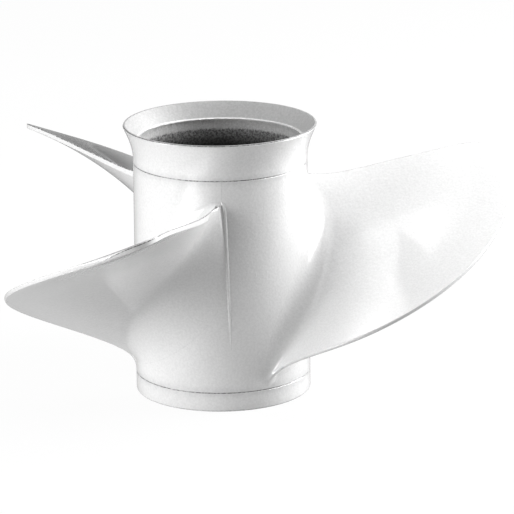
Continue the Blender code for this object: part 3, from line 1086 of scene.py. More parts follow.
@dataclass(frozen=True)
class Tube:
    """The outer tube: a front collar, the barrel that carries the blades, and the flared ring."""

    # Outer radii at the collar and at the upper seam, and the exhaust passage's radius
    front_radius: float = 0.0547
    rear_radius: float = 0.0540
    bore: float = 0.0508
    # Heights of both seams, and how wide and deep a groove is cut into each side of them
    collar: float = 0.0120
    seam: float = 0.1462
    groove: float = 0.00045
    # Round of the edge that it stands on
    foot_round: float = 0.0012
    # How the ring widens outside, with a power that says how late
    flare_start: float = 0.1497
    flare_top: float = 0.1688
    flare_radius: float = 0.0599
    flare_power: float = 1.65
    flare_rings: int = 26
    # The lip, and the inner cone that leads down from it to the throat
    rim: float = 0.1698
    lip_outer: float = 0.0595
    lip_inner: float = 0.0585
    throat: float = 0.1600
    throat_radius: float = 0.0511
    # Width and height of the bead round the throat
    bead: float = 0.00045
    lip_round: float = 0.0003
    # Painted shade along the lip's inner corner
    lip_shade: float = 0.4
    # How ragged the bead's upper edge and the foot of the cone are
    bead_mark: float = 0.6
    cone_mark: float = 0.15
    ring_steps: int = 720
    # The ragged edge: how deep, grains per metre, and where its noise begins
    ragged_depth: float = 0.0017
    ragged_grain: float = 520.0
    ragged_seed: float = 3.0
    # How ragged it still is at the smooth right side, and how that grows to the left
    ragged_least: float = 0.12
    ragged_middle: float = 0.6
    ragged_reach: float = 0.0625

    def radius(self, z: np.ndarray | float) -> np.ndarray:
        """Outer radius of the barrel at a height."""
        share = np.clip((np.asarray(z) - self.collar) / (self.seam - self.collar), 0.0, 1.0)
        return self.front_radius + (self.rear_radius - self.front_radius) * share

    def flared(self, z: float) -> float:
        """Outer radius of the flared ring at a height."""
        share = max(0.0, (z - self.flare_start) / (self.flare_top - self.flare_start))
        return self.rear_radius + (self.flare_radius - self.rear_radius) * share**self.flare_power

    def collar_ring(self) -> Turned:
        """The straight band that slips over the gearcase.

        Returns:
            Its profile, to be turned.
        """
        return Turned(
            (
                Corner(self.front_radius - self.groove, self.collar, grime_and_shade=1.0),
                Corner(self.front_radius, self.collar - self.groove),
                # Painted shade along the edge that it stands on
                Corner(self.front_radius, 0.0, self.foot_round, grime_and_shade=1.0),
                Corner(self.bore, 0.0, self.foot_round / 2),
                Corner(self.bore, self.collar),
            )
        )

    def barrel(self) -> Turned:
        """The long middle of the tube.

        Returns:
            Its profile, to be turned.
        """
        return Turned(
            (
                Corner(self.rear_radius - self.groove, self.seam, grime_and_shade=1.0),
                Corner(self.rear_radius, self.seam - self.groove),
                Corner(self.front_radius, self.collar + self.groove),
                Corner(self.front_radius - self.groove, self.collar, grime_and_shade=1.0),
                Corner(self.bore, self.collar),
                Corner(self.bore, self.seam),
            )
        )

    def flare(self) -> Turned:
        """The flared ring, with its lip, its inner cone and the bead round its throat.

        Returns:
            Its profile, to be turned.
        """
        heights = np.linspace(self.flare_top, self.flare_start, self.flare_rings)
        over_bead = self.throat + self.bead
        return Turned(
            (
                # Painted shade along both corners of the lip
                Corner(self.lip_inner, self.rim, self.lip_round, grime_and_shade=self.lip_shade),
                Corner(self.lip_outer, self.rim, self.lip_round, grime_and_shade=1.0),
                *(Corner(self.flared(float(z)), float(z)) for z in heights),
                Corner(self.rear_radius, self.seam + self.groove),
                Corner(self.rear_radius - self.groove, self.seam, grime_and_shade=1.0),
                Corner(self.bore, self.seam),
                Corner(self.bore, self.throat - 2 * self.bead),
                Corner(self.bore - self.bead, self.throat - self.bead / 2, mark=1.0),
                Corner(self.bore - self.bead, self.throat + self.bead / 2, mark=1.0),
                Corner(self.throat_radius, over_bead, mark=self.bead_mark),
                Corner(self.throat_radius + self.bead, over_bead, mark=self.cone_mark),
            ),
            steps=self.ring_steps,
            attribute="ragged",
        )

    def build(self, finishes: Finishes, trees: Trees) -> list[bpy.types.Object]:
        """Make the three pieces of the tube.

        Args:
            finishes: The materials.
            trees: The geometry trees.

        Returns:
            The pieces.
        """
        paint = finishes.enamel
        ring = self.flare().mesh("flared_ring", paint)
        self.spare_smooth_side(ring)
        values = {
            "Depth": self.ragged_depth,
            "Grain": self.ragged_grain,
            "Seed": self.ragged_seed,
            "Material": paint,
        }
        meshes = {
            "collar_band": (self.collar_ring().mesh("collar_band", paint), "front_collar"),
            "cast_barrel": (self.barrel().mesh("cast_barrel", paint), "hub_barrel"),
            "flared_ring": (grown("flared_ring", ring, trees.ragged, values), "diffuser_ring"),
        }
        return [place(name, mesh, Slot.WHITE_PAINT, node) for name, (mesh, node) in meshes.items()]

    def spare_smooth_side(self, mesh: bpy.types.Mesh) -> None:
        """Keep the throat's bead ragged at the left and smooth at the right.

        Args:
            mesh: The flared ring.
        """
        layer = mesh.attributes["ragged"].data
        marks = np.empty(len(layer), np.float32)
        layer.foreach_get("value", marks)
        places = np.empty(len(layer) * 3, np.float32)
        mesh.vertices.foreach_get("co", places)
        leftward = self.ragged_middle - places.reshape(-1, 3)[:, 0] / self.ragged_reach
        marks *= self.ragged_least + (1 - self.ragged_least) * np.clip(leftward, 0.0, 1.0)
        layer.foreach_set("value", marks)


@dataclass(frozen=True)
class Laws:
    """How a blade's section changes from the tube to the tip, at even stations.

    Attributes:
        half_wrap_degrees: Half of its wrap round the shaft, before the tip closes it.
        skew_degrees: How far its middle is turned back.
        rake_height: Height of its middle.
        pitch: How far its helix climbs in a full turn.
    """

    half_wrap_degrees: tuple[float, ...] = (42.9, 41.5, 45.4, 49.6, 56.4)
    skew_degrees: tuple[float, ...] = (0.0, 0.0, 2.1, 8.4, 23.1)
    rake_height: tuple[float, ...] = (0.0765, 0.0855, 0.0933, 0.0992, 0.1024)
    pitch: tuple[float, ...] = (0.463, 0.454, 0.448, 0.451, 0.457)

    @staticmethod
    def read(values: tuple[float, ...], station: float) -> float:
        """The smooth curve through a law's values, at a station from 0 to 1."""
        stations = np.linspace(0.0, 1.0, len(values))
        return float(np.polyval(np.polyfit(stations, values, len(values) - 1), station))


def quarter_round(height: float, reach: float) -> float:
    """How far a concave quarter round of unit width still stands off, at a height."""
    rise = min(max(1 - height / reach, 0.0), 1.0)
    return 1 - math.sqrt(1 - rise**2)


@dataclass(frozen=True)
class RootBlend:
    """A blend of a blade's face into the tube, a quarter ellipse that grows with its fullness.

    Attributes:
        edge: Its width and its reach where the fullness is 0.
        width: How much further it spreads along the tube where the fullness is 1.
        reach: How much further it climbs up the blade where the fullness is 1.
    """

    edge: float
    width: float
    reach: float

    def stand_off(self, fullness: np.ndarray, height: float) -> np.ndarray:
        """How far the blend stands off the blade's face.

        Args:
            fullness: How full the blend is at each point, from 0 to 1.
            height: The height over the tube.

        Returns:
            The distances.
        """
        reach = self.edge + self.reach * fullness
        rise = np.clip(1 - max(height, 0.0) / reach, 0.0, 1.0)
        return (self.edge + self.width * fullness) * (1 - np.sqrt(1 - rise**2))


@dataclass(frozen=True)
class Section:
    """One section of a blade on a cylinder, as points of (turn, z).

    Attributes:
        blade: The blade that it belongs to.
        height: How far it stands over the tube.
        END_POWER: How late the root blends fade towards the ends of the chord.
    """

    blade: "Blade"
    height: float
    END_POWER: ClassVar[int] = 4

    @property
    def station(self) -> float:
        """How far out it is, from 0 at the tube to 1 at the tip."""
        return min(max(self.height / self.blade.reach, 0.0), 1.0)

    @property
    def radius(self) -> float:
        """The radius of its cylinder."""
        return self.blade.tube.rear_radius + self.height

    @property
    def half_wrap(self) -> float:
        """Half of the angle that it wraps round the shaft, which closes to nothing at the tip."""
        degrees = self.blade.laws.read(self.blade.laws.half_wrap_degrees, self.station)
        return math.radians(math.sqrt(1 - self.station) * degrees)

    @property
    def skew(self) -> float:
        """The turn of its middle."""
        return math.radians(self.blade.laws.read(self.blade.laws.skew_degrees, self.station))

    @property
    def rise(self) -> float:
        """Height that its helix gains for each radian."""
        return self.blade.laws.read(self.blade.laws.pitch, self.station) / TAU

    @property
    def along(self) -> np.ndarray:
        """One metre along the helix, as (turn, z)."""
        slope = math.atan2(self.rise, self.radius)
        return np.array((math.cos(slope) / self.radius, math.sin(slope)))

    @property
    def square(self) -> np.ndarray:
        """One metre square to the helix, towards the rear, as (turn, z)."""
        slope = math.atan2(self.rise, self.radius)
        return np.array((-math.sin(slope) / self.radius, math.cos(slope)))

    @property
    def half_chord(self) -> float:
        """Half of its length along the helix."""
        return self.half_wrap / self.along[0]

    def thinning(self) -> float:
        """How much of the thickness is left, as it drops to nothing round the tip.

        Returns:
            The share, from 0 to 1.
        """
        blade = self.blade
        past = (self.height - blade.reach + blade.tip_round) / blade.tip_round
        return math.sqrt(max(0.0, 1 - max(0.0, past) ** 2))

    def thickness(self, share: np.ndarray) -> np.ndarray:
        """Thickness of the blade along the chord.

        Args:
            share: Where on the chord, from -1 at the leading edge to 1 at the trailing edge.

        Returns:
            The thickness at each place.
        """
        blade = self.blade
        body = blade.root_thickness + (blade.tip_thickness - blade.root_thickness) * self.station
        trailing = blade.trailing_drop * self.square[1]
        edge = blade.leading_thickness + (trailing - blade.leading_thickness) * (share + 1) / 2
        return (edge + (body - edge) * (1 - share**2)) * self.thinning()

    def faces(self, share: np.ndarray) -> tuple[np.ndarray, np.ndarray]:
        """Points of the rear and of the front face.

        Args:
            share: Where on the chord, from -1 at the leading edge to 1 at the trailing edge.

        Returns:
            The rear face's points and the front face's.
        """
        blade = self.blade
        laws = blade.laws
        turn = self.skew + share * self.half_wrap
        line = np.stack((turn, laws.read(laws.rake_height, self.station) + self.rise * turn), axis=-1)
        full = blade.root_thickness + (blade.tip_thickness - blade.root_thickness) * self.station
        line = line - np.outer(np.ones_like(turn) * full * (1 - self.thinning()) / 2, self.square)
        rear = blade.rear_blend.stand_off(1 - share**self.END_POWER, self.height)
        loss = blade.trailing_loss * np.clip(share, 0.0, None) ** 2
        fullness = 1 - ((1 - share) / 2) ** self.END_POWER - loss
        front = blade.front_blend.stand_off(fullness, self.height)
        depth = self.thickness(share) + front
        return line + np.outer(rear, self.square), line - np.outer(depth, self.square)

    def parting(self, z: np.ndarray) -> np.ndarray:
        """Where the mould parts, behind the trailing edge's root.

        Args:
            z: Heights.

        Returns:
            The turn at each height.
        """
        blade = self.blade
        near = quarter_round(self.height, blade.parting_reach)
        heights, leads = zip(*sorted(blade.parting_line))
        lead = np.radians(np.interp(z, heights, leads))
        return self.skew + self.half_wrap + lead * near

    @staticmethod
    def corner(before: np.ndarray, at: np.ndarray, after: np.ndarray, count: int) -> np.ndarray:
        """Points of a rounded corner, as a curve that leaves one side and joins the other.

        Args:
            before: Where the round begins.
            at: The sharp corner.
            after: Where the round ends.
            count: How many points there are.

        Returns:
            The points between both ends.
        """
        t = np.linspace(0.0, 1.0, count + 2)[1:-1, None]
        return before * (1 - t) ** 2 + at * 2 * t * (1 - t) + after * t**2

    def loop(self) -> np.ndarray:
        """The whole section.

        Returns:
            Rows of (arc, radius, z), from the middle of the nose along the rear face, down the
            flat trailing edge, and back along the front face.
        """
        blade = self.blade
        nose = min(blade.leading_thickness / 2 / self.half_chord, blade.nose_limit)
        start = -1 + nose
        near = min(max((blade.parting_zone - self.height) / blade.parting_ease, 0.0), 1.0)

        # Where the front face meets the parting plane
        trial = np.linspace(start, 1.0, blade.trial_points)
        _, under = self.faces(trial)
        over = under[:, 0] - self.parting(under[:, 1])
        crossing = int(np.argmax(over > 0)) if (over > 0).any() else len(trial) - 1
        before = max(crossing - 1, 0)
        span = over[crossing] - over[before]
        past = -over[before] / span if span > 0 else 1.0
        cut = trial[before] + (trial[crossing] - trial[before]) * past

        # Both faces, up to their rounded corners
        rear_round = blade.edge_round
        front_round = blade.edge_round + (blade.parting_round - blade.edge_round) * near
        evened = (1 - np.cos(np.linspace(0.0, math.pi, blade.chord_points))) / 2
        rear_end = 1 - min(rear_round / self.half_chord, blade.corner_limit)
        front_end = cut - min(front_round / self.half_chord, blade.corner_limit)
        rear, _ = self.faces(start + evened * (rear_end - start))
        _, front = self.faces(start + evened * (front_end - start))
        rear_corner, _ = self.faces(np.array([1.0]))
        _, front_corner = self.faces(np.array([cut]))
        rear_corner, front_corner = rear_corner[0], front_corner[0]
        drop = rear_corner[1] - front_corner[1]
        fall = min(rear_round, drop * blade.heel_limit)
        climb = min(front_round, drop * (blade.toe_limit + blade.toe_spread * near))
        first = np.array((self.edge_turn(rear_corner), rear_corner[1] - fall))
        last = np.array((front_corner[0], front_corner[1] + climb))
        flat = first + (last - first) * np.linspace(0.0, 1.0, blade.flat_points)[:, None]
        heel = self.corner(rear[-1], rear_corner, first, blade.heel_points)
        toe = self.corner(last, front_corner, front[-1], blade.toe_points)

        # The rounded nose
        middle = (rear[0] + front[0]) / 2
        half_depth = float(rear[0][1] - front[0][1]) / self.square[1] / 2
        blend = blade.nose_fillet * quarter_round(self.height, blade.nose_fillet)
        reach = self.thickness(np.array([start]))[0] / 2 + blend
        turns = np.linspace(-math.pi / 2, math.pi / 2, blade.nose_points + 2)[1:-1]
        rounds = middle + np.outer(np.sin(turns) * half_depth, self.square)
        rounds -= np.outer(np.cos(turns) * reach, self.along)
        half = len(rounds) // 2
        path = np.concatenate((rounds[half:], rear, heel, flat, toe, front[::-1], rounds[:half]))

        # Nothing reaches below the collar's seam
        floor = blade.tube.collar
        z = floor + blade.floor_ease * np.logaddexp(0.0, (path[:, 1] - floor) / blade.floor_ease)
        taper = max(0.0, 1 - max(self.height, 0.0) / blade.taper_fade) ** 2
        radius = self.radius + (blade.tube.radius(z) - blade.tube.rear_radius) * taper
        return np.stack((path[:, 0] * ARC_RADIUS, radius, z), axis=-1)

    def edge_turn(self, rear_corner: np.ndarray) -> float:
        """The turn of the flat trailing edge, beside the rear face's end."""
        return max(float(self.parting(np.array([rear_corner[1]]))[0]), float(rear_corner[0]))


@dataclass(frozen=True)
class Blade:
    """A blade: a screw surface with a round nose, a flat trailing edge and broad root blends."""

    number: int
    angle: float
    tube: Tube
    laws: Laws = field(default_factory=Laws)
    tip_radius: float = 0.1808
    # Thickness of the middle at the tube and at the tip, and of both edges
    root_thickness: float = 0.0120
    tip_thickness: float = 0.0036
    leading_thickness: float = 0.0024
    trailing_drop: float = 0.0030
    # How far from the tip it begins to thin out
    tip_round: float = 0.0016
    # Blends into the tube, and what the front one lacks at the trailing edge
    rear_blend: RootBlend = RootBlend(0.0030, 0.0140, 0.0150)
    front_blend: RootBlend = RootBlend(0.0030, 0.0270, 0.0170)
    trailing_loss: float = 0.70
    nose_fillet: float = 0.0090
    # Rounds of the flat edge's corners. Up to the parting zone, the front one is larger
    edge_round: float = 0.00045
    parting_round: float = 0.0140
    parting_zone: float = 0.0125
    parting_ease: float = 0.0040
    # How high the parting line's lead and the tube's taper are followed
    parting_reach: float = 0.0120
    taper_fade: float = 0.0200
    # How softly the front blend stops at the collar's seam
    floor_ease: float = 0.0007
    # Heights of the mould's parting line, with its degrees behind the trailing edge's root
    parting_line: tuple[tuple[float, float], ...] = (
        (0.1462, 2.9),
        (0.1339, 3.0),
        (0.1323, 3.7),
        (0.1296, 4.5),
        (0.1248, 5.0),
        (0.0400, 7.7),
    )
    # The most of the chord that the nose and a rounded corner take
    nose_limit: float = 0.5
    corner_limit: float = 0.3
    # The most of the flat edge that its corners take, and what the front one adds at the tube
    heel_limit: float = 1 / 3
    toe_limit: float = 0.3
    toe_spread: float = 0.58
    # Points along the parts of a section, and rows of sections
    trial_points: int = 400
    chord_points: int = 72
    heel_points: int = 4
    toe_points: int = 12
    flat_points: int = 6
    nose_points: int = 12
    root_rows: int = 50
    root_zone: float = 0.0380
    outer_rows: int = 46
    # How deep the root is set into the tube, with one more section just under its skin
    sunk: float = 0.0015
    feather: float = 0.00002
    # Where the last section lies, a little short of the tip
    last_station: float = 0.99995
    # Painted shade along the rear corner, and along the front one at the tube, and where it is full
    edge_grime_and_shade: float = 1.0
    toe_shade: float = 0.35
    edge_shade_start: float = 0.0030

    @property
    def reach(self) -> float:
        """Height of the tip over the tube."""
        return self.tip_radius - self.tube.rear_radius

    @property
    def root_turn(self) -> float:
        """Turn of the trailing edge where it meets the tube."""
        return Section(self, 0.0).half_wrap

    def heights(self) -> np.ndarray:
        """Where the sections lie, close together at the tube and at the tip.

        Returns:
            Their heights over the tube.
        """
        near = self.root_zone * (np.arange(1, self.root_rows + 1) / self.root_rows) ** 2
        start = math.sqrt(1 - self.root_zone / self.reach)
        end = math.sqrt(1 - self.last_station)
        far = (1 - np.linspace(start, end, self.outer_rows + 1)[1:] ** 2) * self.reach
        return np.concatenate(((-self.sunk, -self.feather), near, far))

    def drawing(self) -> bpy.types.Mesh:
        """The blade's skin, unrolled, with painted shade along the rear edge of its flat trailing edge.

        Returns:
            The mesh.
        """
        heights = self.heights()
        loops = np.stack([Section(self, float(height)).loop() for height in heights])
        mesh = lofted(f"blade_drawing_{self.number}", loops, closed=False)
        # Painted shade along the heel, fading along the toe near the tube
        grime_and_shade = np.zeros(loops.shape[:2])
        heel = (self.nose_points + 1) // 2 + self.chord_points
        toe = heel + self.heel_points + self.flat_points
        root = heights < self.parting_zone - self.parting_ease
        fading = self.toe_shade * np.linspace(1.0, 0.0, self.toe_points)
        grime_and_shade[:, heel : heel + self.heel_points + 1] = self.edge_grime_and_shade
        grime_and_shade[root, toe : toe + self.toe_points] = fading**2
        grime_and_shade *= np.clip(heights / self.edge_shade_start, 0.0, 1.0)[:, None]
        mark(mesh, "grime_and_shade", grime_and_shade)
        return mesh

    def build(self, finishes: Finishes, trees: Trees) -> list[bpy.types.Object]:
        """Make the blade.

        Args:
            finishes: The materials.
            trees: The geometry trees.

        Returns:
            The one piece.
        """
        values = {"Turn": self.angle, "Level": LEVEL, "Copies": 1, "Material": finishes.enamel}
        mesh = grown(f"cast_blade_{self.number}", self.drawing(), trees.roll, values)
        return [place(mesh.name, mesh, Slot.WHITE_PAINT, f"blade_{self.number}")]


@dataclass(frozen=True)
class PartingRidges:
    """The low ridges that the mould leaves on the tube above and below each trailing edge."""

    blade: Blade
    count: int
    # Radius of the ridge's round section, and how deep its middle lies under the skin
    ridge: float = 0.00120
    sunk: float = 0.00055
    # How high the painted shade climbs at its foot
    foot_shade_height: float = 0.00022
    step: float = 0.0008
    # Heights of its upper end, of the blade's peak, of where it fades, and of its lower end
    seam: float = 0.1462
    peak: float = 0.1332
    fade_start: float = 0.0620
    end: float = 0.0400
    # Share of its section that is left above the peak and at the lower end
    least: float = 0.50
    sides: int = 24
    # Heights on the ridge, with how much painted shade darkens its foot
    foot_shade_line: tuple[tuple[float, float], ...] = (
        (0.1462, 0.35),
        (0.1345, 0.30),
        (0.1320, 0.50),
        (0.0900, 0.60),
        (0.0640, 0.95),
        (0.0540, 0.55),
        (0.0400, 0.0),
    )

    def drawing(self) -> bpy.types.Mesh:
        """The ridges' paths, unrolled, with how full the ridge is at each point.

        Returns:
            The mesh of edges.
        """
        heights, leads = zip(*sorted(self.blade.parting_line))
        z = np.linspace(self.seam, self.end, round((self.seam - self.end) / self.step) + 1)
        turn = self.blade.root_turn + np.radians(np.interp(z, heights, leads))
        points = np.stack((turn * ARC_RADIUS, self.blade.tube.radius(z) - self.sunk, z), axis=1)
        mesh = bpy.data.meshes.new("ridge_paths")
        mesh.from_pydata(points.tolist(), [(k, k + 1) for k in range(len(z) - 1)], [])
        fading = np.clip((z - self.end) / (self.fade_start - self.end), 0.0, 1.0)
        full = self.least + (1 - self.least) * np.where(z > self.peak, 0.0, fading)
        mark(mesh, "fullness", full)
        mark(mesh, "tube_level", self.blade.tube.radius(z))
        mark(mesh, "foot_shade_share", np.interp(z, *zip(*sorted(self.foot_shade_line))))
        return mesh

    def build(self, finishes: Finishes, trees: Trees) -> list[bpy.types.Object]:
        """Make the ridges.

        Args:
            finishes: The materials.
            trees: The geometry trees.

        Returns:
            The one piece that they form.
        """
        values = {
            "Ridge Radius": self.ridge,
            "Foot Shade Height": self.foot_shade_height,
            "Sides": self.sides,
            "Turn": self.blade.angle,
            "Level": LEVEL,
            "Copies": self.count,
            "Material": finishes.enamel,
        }
        mesh = grown("parting_ridges", self.drawing(), trees.ridge, values)
        return [place(mesh.name, mesh, Slot.WHITE_PAINT)]


@dataclass(frozen=True)
class InnerHub:
    """The inner tube that holds the bushing, with the webs that carry it."""

    tube: Tube
    angles: tuple[float, ...]
    front: float = 0.0080
    rear: float = 0.1120
    front_radius: float = 0.0310
    rear_radius: float = 0.0300
    bore: float = 0.0253
    end_round: float = 0.0012
    web_front: float = 0.0160
    web_rear: float = 0.1040
    web_thickness: float = 0.0070
    web_fillet: float = 0.0040
    web_rows: int = 25
    side_points: int = 24
    end_points: int = 14
    steps: int = 192
    # How deep a web is set into both tubes
    sunk: float = 0.0010

    def shell(self) -> Turned:
        """The inner tube.

        Returns:
            Its profile, to be turned.
        """
        return Turned(
            (
                Corner(self.rear_radius, self.rear, self.end_round),
                Corner(self.front_radius, self.front, self.end_round),
                Corner(self.bore, self.front, self.end_round / 2),
                Corner(self.bore, self.rear, self.end_round / 2),
            ),
            steps=self.steps,
        )

    def web_loop(self, radius: float) -> np.ndarray:
        """One section of a web on a cylinder.

        Args:
            radius: The cylinder's radius.

        Returns:
            Rows of (arc, radius, z), up one side and down the other.
        """
        spread = 0.0
        for gap in (radius - self.front_radius, self.tube.bore - radius):
            rise = min(max(self.web_fillet - max(gap, 0.0), 0.0), self.web_fillet)
            spread += self.web_fillet - math.sqrt(self.web_fillet**2 - rise**2)
        half = self.web_thickness / 2 + spread
        bottom = self.web_front - spread + half
        top = self.web_rear + spread - half
        side = np.linspace(bottom, top, self.side_points)
        bend = np.linspace(0.0, math.pi, self.end_points + 2)[1:-1]
        right = np.stack((np.full_like(side, half), side), axis=-1)
        over = np.stack((half * np.cos(bend), top + half * np.sin(bend)), axis=-1)
        left = np.stack((np.full_like(side, -half), side[::-1]), axis=-1)
        under = np.stack((-half * np.cos(bend), bottom - half * np.sin(bend)), axis=-1)
        middle = self.end_points // 2
        path = np.concatenate((under[middle:], right, over, left, under[:middle]))
        arcs = path[:, 0] / radius * ARC_RADIUS
        return np.stack((arcs, np.full_like(arcs, radius), path[:, 1]), axis=-1)

    def web_drawing(self) -> bpy.types.Mesh:
        """One web, unrolled, with its blends at both ends.

        Returns:
            The mesh.
        """
        shares = (1 - np.cos(np.linspace(0.0, math.pi, self.web_rows))) / 2
        radii = self.front_radius + (self.tube.bore - self.front_radius) * shares
        radii = np.concatenate(((self.rear_radius - self.sunk,), radii, (self.tube.bore + self.sunk,)))
        return lofted("web_drawing", np.stack([self.web_loop(float(r)) for r in radii]), closed=False)

    def build(self, finishes: Finishes, trees: Trees) -> list[bpy.types.Object]:
        """Make the inner tube and its webs.

        Args:
            finishes: The materials.
            trees: The geometry trees.

        Returns:
            The pieces.
        """
        shell = self.shell().mesh("inner_tube", finishes.passage)
        pieces = [place("inner_tube", shell, Slot.INNER_PAINT, "inner_hub")]
        for number, angle in enumerate(self.angles, start=1):
            values = {"Turn": angle, "Level": LEVEL, "Copies": 1, "Material": finishes.passage}
            mesh = grown(f"cast_web_{number}", self.web_drawing(), trees.roll, values)
            pieces.append(place(mesh.name, mesh, Slot.INNER_PAINT, f"web_{number}"))
        return pieces


@dataclass(frozen=True)
class Bushing:
    """The rubber bushing and the splined bronze sleeve, pressed into the inner tube."""

    front: float = 0.0130
    rear: float = 0.1060
    radius: float = 0.0251
    bore: float = 0.0166
    # How far the rubber's end faces are crowned, and the thin lip round them
    crown: float = 0.0012
    lip: float = 0.0010
    side_round: float = 0.0004
    lip_round: float = 0.0005
    crown_round: float = 0.0015
    steps: int = 160
    sleeve_front: float = 0.0080
    sleeve_rear: float = 0.1100
    sleeve_radius: float = 0.0165
    chamfer: float = 0.0008
    # The splines, with how many flats stand for one and its gap
    teeth: int = 15
    tooth_flats: int = 18
    root_radius: float = 0.0132
    tip_radius: float = 0.0117
    flank_steepness: float = 2.6

    def rubber(self) -> Turned:
        """The rubber, with a crowned face and a thin lip at each end.

        Returns:
            Its profile, to be turned.
        """
        middle = (self.radius + self.bore) / 2
        return Turned(
            (
                Corner(self.radius, self.rear - self.crown, self.side_round),
                Corner(self.radius, self.front + self.crown, self.side_round),
                Corner(self.radius - self.lip, self.front, self.lip_round),
                Corner(middle, self.front - self.crown / 2, self.crown_round),
                Corner(self.bore + self.lip, self.front, self.lip_round),
                Corner(self.bore, self.front + self.crown, self.side_round),
                Corner(self.bore, self.rear - self.crown, self.side_round),
                Corner(self.bore + self.lip, self.rear, self.lip_round),
                Corner(middle, self.rear + self.crown / 2, self.crown_round),
                Corner(self.radius - self.lip, self.rear, self.lip_round),
            ),
            steps=self.steps,
        )

    def sleeve(self) -> Turned:
        """The sleeve before its splines are broached.

        Returns:
            Its profile, to be turned.
        """
        entry = self.root_radius + self.chamfer
        return Turned(
            (
                Corner(self.sleeve_radius, self.sleeve_rear, self.chamfer / 2),
                Corner(self.sleeve_radius, self.sleeve_front, self.chamfer / 2),
                Corner(entry, self.sleeve_front),
                Corner(self.root_radius, self.sleeve_front + self.chamfer),
                Corner(self.root_radius, self.sleeve_front + 3 * self.chamfer, mark=1.0),
                Corner(self.root_radius, self.sleeve_rear - 3 * self.chamfer, mark=1.0),
                Corner(self.root_radius, self.sleeve_rear - self.chamfer),
                Corner(entry, self.sleeve_rear),
            ),
            steps=self.teeth * self.tooth_flats,
            attribute="toothed",
        )

    def build(self, finishes: Finishes, trees: Trees) -> list[bpy.types.Object]:
        """Make the bushing and the sleeve.

        Args:
            finishes: The materials.
            trees: The geometry trees.

        Returns:
            The pieces.
        """
        rubber = self.rubber().mesh("moulded_bushing", finishes.rubber)
        blank = self.sleeve().mesh("broached_sleeve", finishes.bronze)
        values = {
            "Teeth": self.teeth,
            "Tooth Height": self.root_radius - self.tip_radius,
            "Flank Steepness": self.flank_steepness,
            "Material": finishes.bronze,
        }
        broached = grown("broached_sleeve", blank, trees.splines, values)
        return [
            place("moulded_bushing", rubber, Slot.BLACK_RUBBER, "rubber_bushing"),
            place("broached_sleeve", broached, Slot.BRONZE, "splined_sleeve"),
        ]


@dataclass(frozen=True)
class SoftBox:
    """A square studio light that faces the propeller.

    Attributes:
        name: Its name.
        azimuth_degrees: Where it stands, from 0 on the camera's side, anticlockwise from above.
        elevation_degrees: How high it stands.
        distance: How far it stands from the propeller.
        size: Its side.
        power: Its power in watts.
    """

    name: str
    azimuth_degrees: float
    elevation_degrees: float
    distance: float
    size: float
    power: float

    def build(self) -> bpy.types.Object:
        """Hang the light.

        Returns:
            The light.
        """
        azimuth, elevation = math.radians(self.azimuth_degrees), math.radians(self.elevation_degrees)
        level = Vector((math.sin(azimuth), -math.cos(azimuth), 0.0)) * math.cos(elevation)
        back = level + Vector((0.0, 0.0, math.sin(elevation)))
        lamp = bpy.data.lights.new(self.name, "AREA")
        lamp.shape = "SQUARE"
        lamp.size = self.size
        lamp.energy = self.power
        light = set_up(self.name, lamp)
        light.location = back * self.distance
        light.rotation_mode = "QUATERNION"
        light.rotation_quaternion = (-back).to_track_quat("-Z", "Y")
        light.visible_camera = False
        return light


